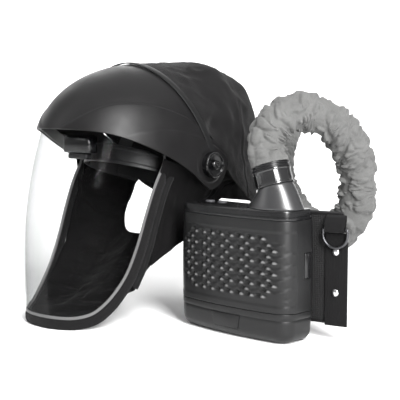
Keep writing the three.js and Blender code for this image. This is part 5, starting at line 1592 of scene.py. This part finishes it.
def finish_frame_parts():
    """Materials, rounded edges and smooth shading for the frame's own visible parts."""
    looks = {
        "battery_latch": body_plastic, "cover_latch_right": lid_plastic, "cover_latch_left": lid_plastic,
        "spark_screen": bolt_steel, "particle_filter": filter_media, "fan_volute": fan_plastic,
        "fan_impeller": fan_plastic, "fan_motor": bolt_steel, "circuit_board": board_plastic,
        "control_panel": panel_plastic, "power_button": button_plastic, "airflow_button": button_plastic,
        "hose_cuff_blower": hose_rubber, "hose_cuff_helmet": hose_rubber, "belt_bracket": black_plastic,
        "buckle_female": black_plastic, "buckle_male": black_plastic, "air_duct": black_plastic,
        "inlet_elbow": black_plastic, "pivot_bolt_left": bolt_steel, "pivot_bolt_right": bolt_steel,
        "ratchet_housing": black_plastic, "ratchet_knob": black_plastic,
        "side_arm_left": black_plastic, "side_arm_right": black_plastic,
    }
    for name, material in looks.items():
        node = nodes[name]
        node.data.materials.clear()
        node.data.materials.append(material)
        node.data.polygons.foreach_set("use_smooth", [True] * len(node.data.polygons))
        weld = node.modifiers.new("weld", "WELD")
        weld.merge_threshold = 1e-5
        bevel = node.modifiers.new("round", "BEVEL")
        bevel.width = 0.0003
        bevel.segments = 2
        bevel.limit_method = "ANGLE"
        bevel.angle_limit = 40 * DEG
        bevel.harden_normals = True
    return looks


# ------------------------------------------------------------------ floor, light and camera

def make_stage():
    low, high = cad_box
    verts, faces = [], []
    size, back, lift = 6.0, 3.2, 2.4
    profile = [(-size, 0.0), (back - 1.2, 0.0)]
    profile += [(back - 1.2 + 1.2 * math.sin(a), 1.2 - 1.2 * math.cos(a)) for a in np.linspace(8, 90, 12) * DEG]
    profile += [(back, lift + 2)]
    turn = 45 * DEG
    for i, x in enumerate((-size, size)):
        for y, z in profile:
            verts.append((x * math.cos(turn) - y * math.sin(turn), x * math.sin(turn) + y * math.cos(turn), z - 0.0003))
    count = len(profile)
    faces = [(i, i + 1, count + i + 1, count + i) for i in range(count - 1)]
    mesh = bpy.data.meshes.new("floor")
    mesh.from_pydata(verts, [], faces)
    mesh.polygons.foreach_set("use_smooth", [True] * len(mesh.polygons))
    s = Shader("floor_paper", (0.93, 0.93, 0.93), 0.9)
    mesh.materials.append(s.done())
    floor = bpy.data.objects.new("floor", mesh)
    bpy.context.scene.collection.objects.link(floor)


def soft_box(name, azimuth, elevation, distance, width, height, watts, target=(0, 0, 0.16)):
    """Area light that faces the target; azimuth 0 is at -Y, positive toward +X."""
    a, e = azimuth * DEG, elevation * DEG
    way = Vector((math.sin(a) * math.cos(e), -math.cos(a) * math.cos(e), math.sin(e)))
    data = bpy.data.lights.new(name, "AREA")
    data.shape = "RECTANGLE"
    data.size, data.size_y = width, height
    data.energy = watts
    lamp = bpy.data.objects.new(name, data)
    lamp.location = Vector(target) + way * distance
    lamp.rotation_euler = way.to_track_quat("Z", "Y").to_euler()
    bpy.context.scene.collection.objects.link(lamp)


def make_light():
    world = bpy.data.worlds.new("studio")
    world.use_nodes = True
    world.node_tree.nodes["Background"].inputs["Color"].default_value = (1, 1, 1, 1)
    world.node_tree.nodes["Background"].inputs["Strength"].default_value = 0.40
    scene = bpy.context.scene
    scene.world = world
    soft_box("key", 64, 30, 1.9, 0.5, 1.7, 94)
    soft_box("top", 20, 84, 3.4, 5.0, 5.0, 62)
    soft_box("left", -40, 30, 2.4, 1.0, 1.6, 8)
    soft_box("backdrop", 45, 40, 2.0, 3.2, 1.8, 70, (-2.2, 2.2, 0.9))
    scene.view_settings.view_transform = "Standard"
    scene.view_settings.look = "None"


def make_camera():
    """Camera at the studio view: 45 degrees round toward +X, a little above the blower."""
    data = bpy.data.cameras.new("camera")
    data.sensor_width = 36.0
    data.lens = 82.35
    camera = bpy.data.objects.new("camera", data)
    camera.location = (0.7735, -0.8561, 0.2764)
    pitch = 5.38 * DEG
    look = Vector((-math.sin(45 * DEG) * math.cos(pitch), math.cos(45 * DEG) * math.cos(pitch), -math.sin(pitch)))
    camera.rotation_euler = look.to_track_quat("-Z", "Y").to_euler()
    bpy.context.scene.collection.objects.link(camera)
    bpy.context.scene.camera = camera


make_cover()
make_housing()
make_battery()
make_lid()
make_cone()
make_nut("coupling_nut_blower", "hose_nut_blower", CONE_MOUTH, CONE_AXIS, "nut_blower")
make_nut("coupling_nut_helmet", "hose_nut_helmet", HELMET_PORT, PORT_AXIS, "nut_helmet")
make_clamp()
hose_path = make_sleeve()
make_tube(hose_path)
make_pad()
make_strips()
make_waist_strap()
make_shell()
make_band()
make_visor()
make_trim()
make_seal()
make_hood()
make_headgear()
make_knobs()
make_ledge()
make_tapes()
make_curtains()
make_outlet()
finish_frame_parts()
make_stage()
make_light()
make_camera()
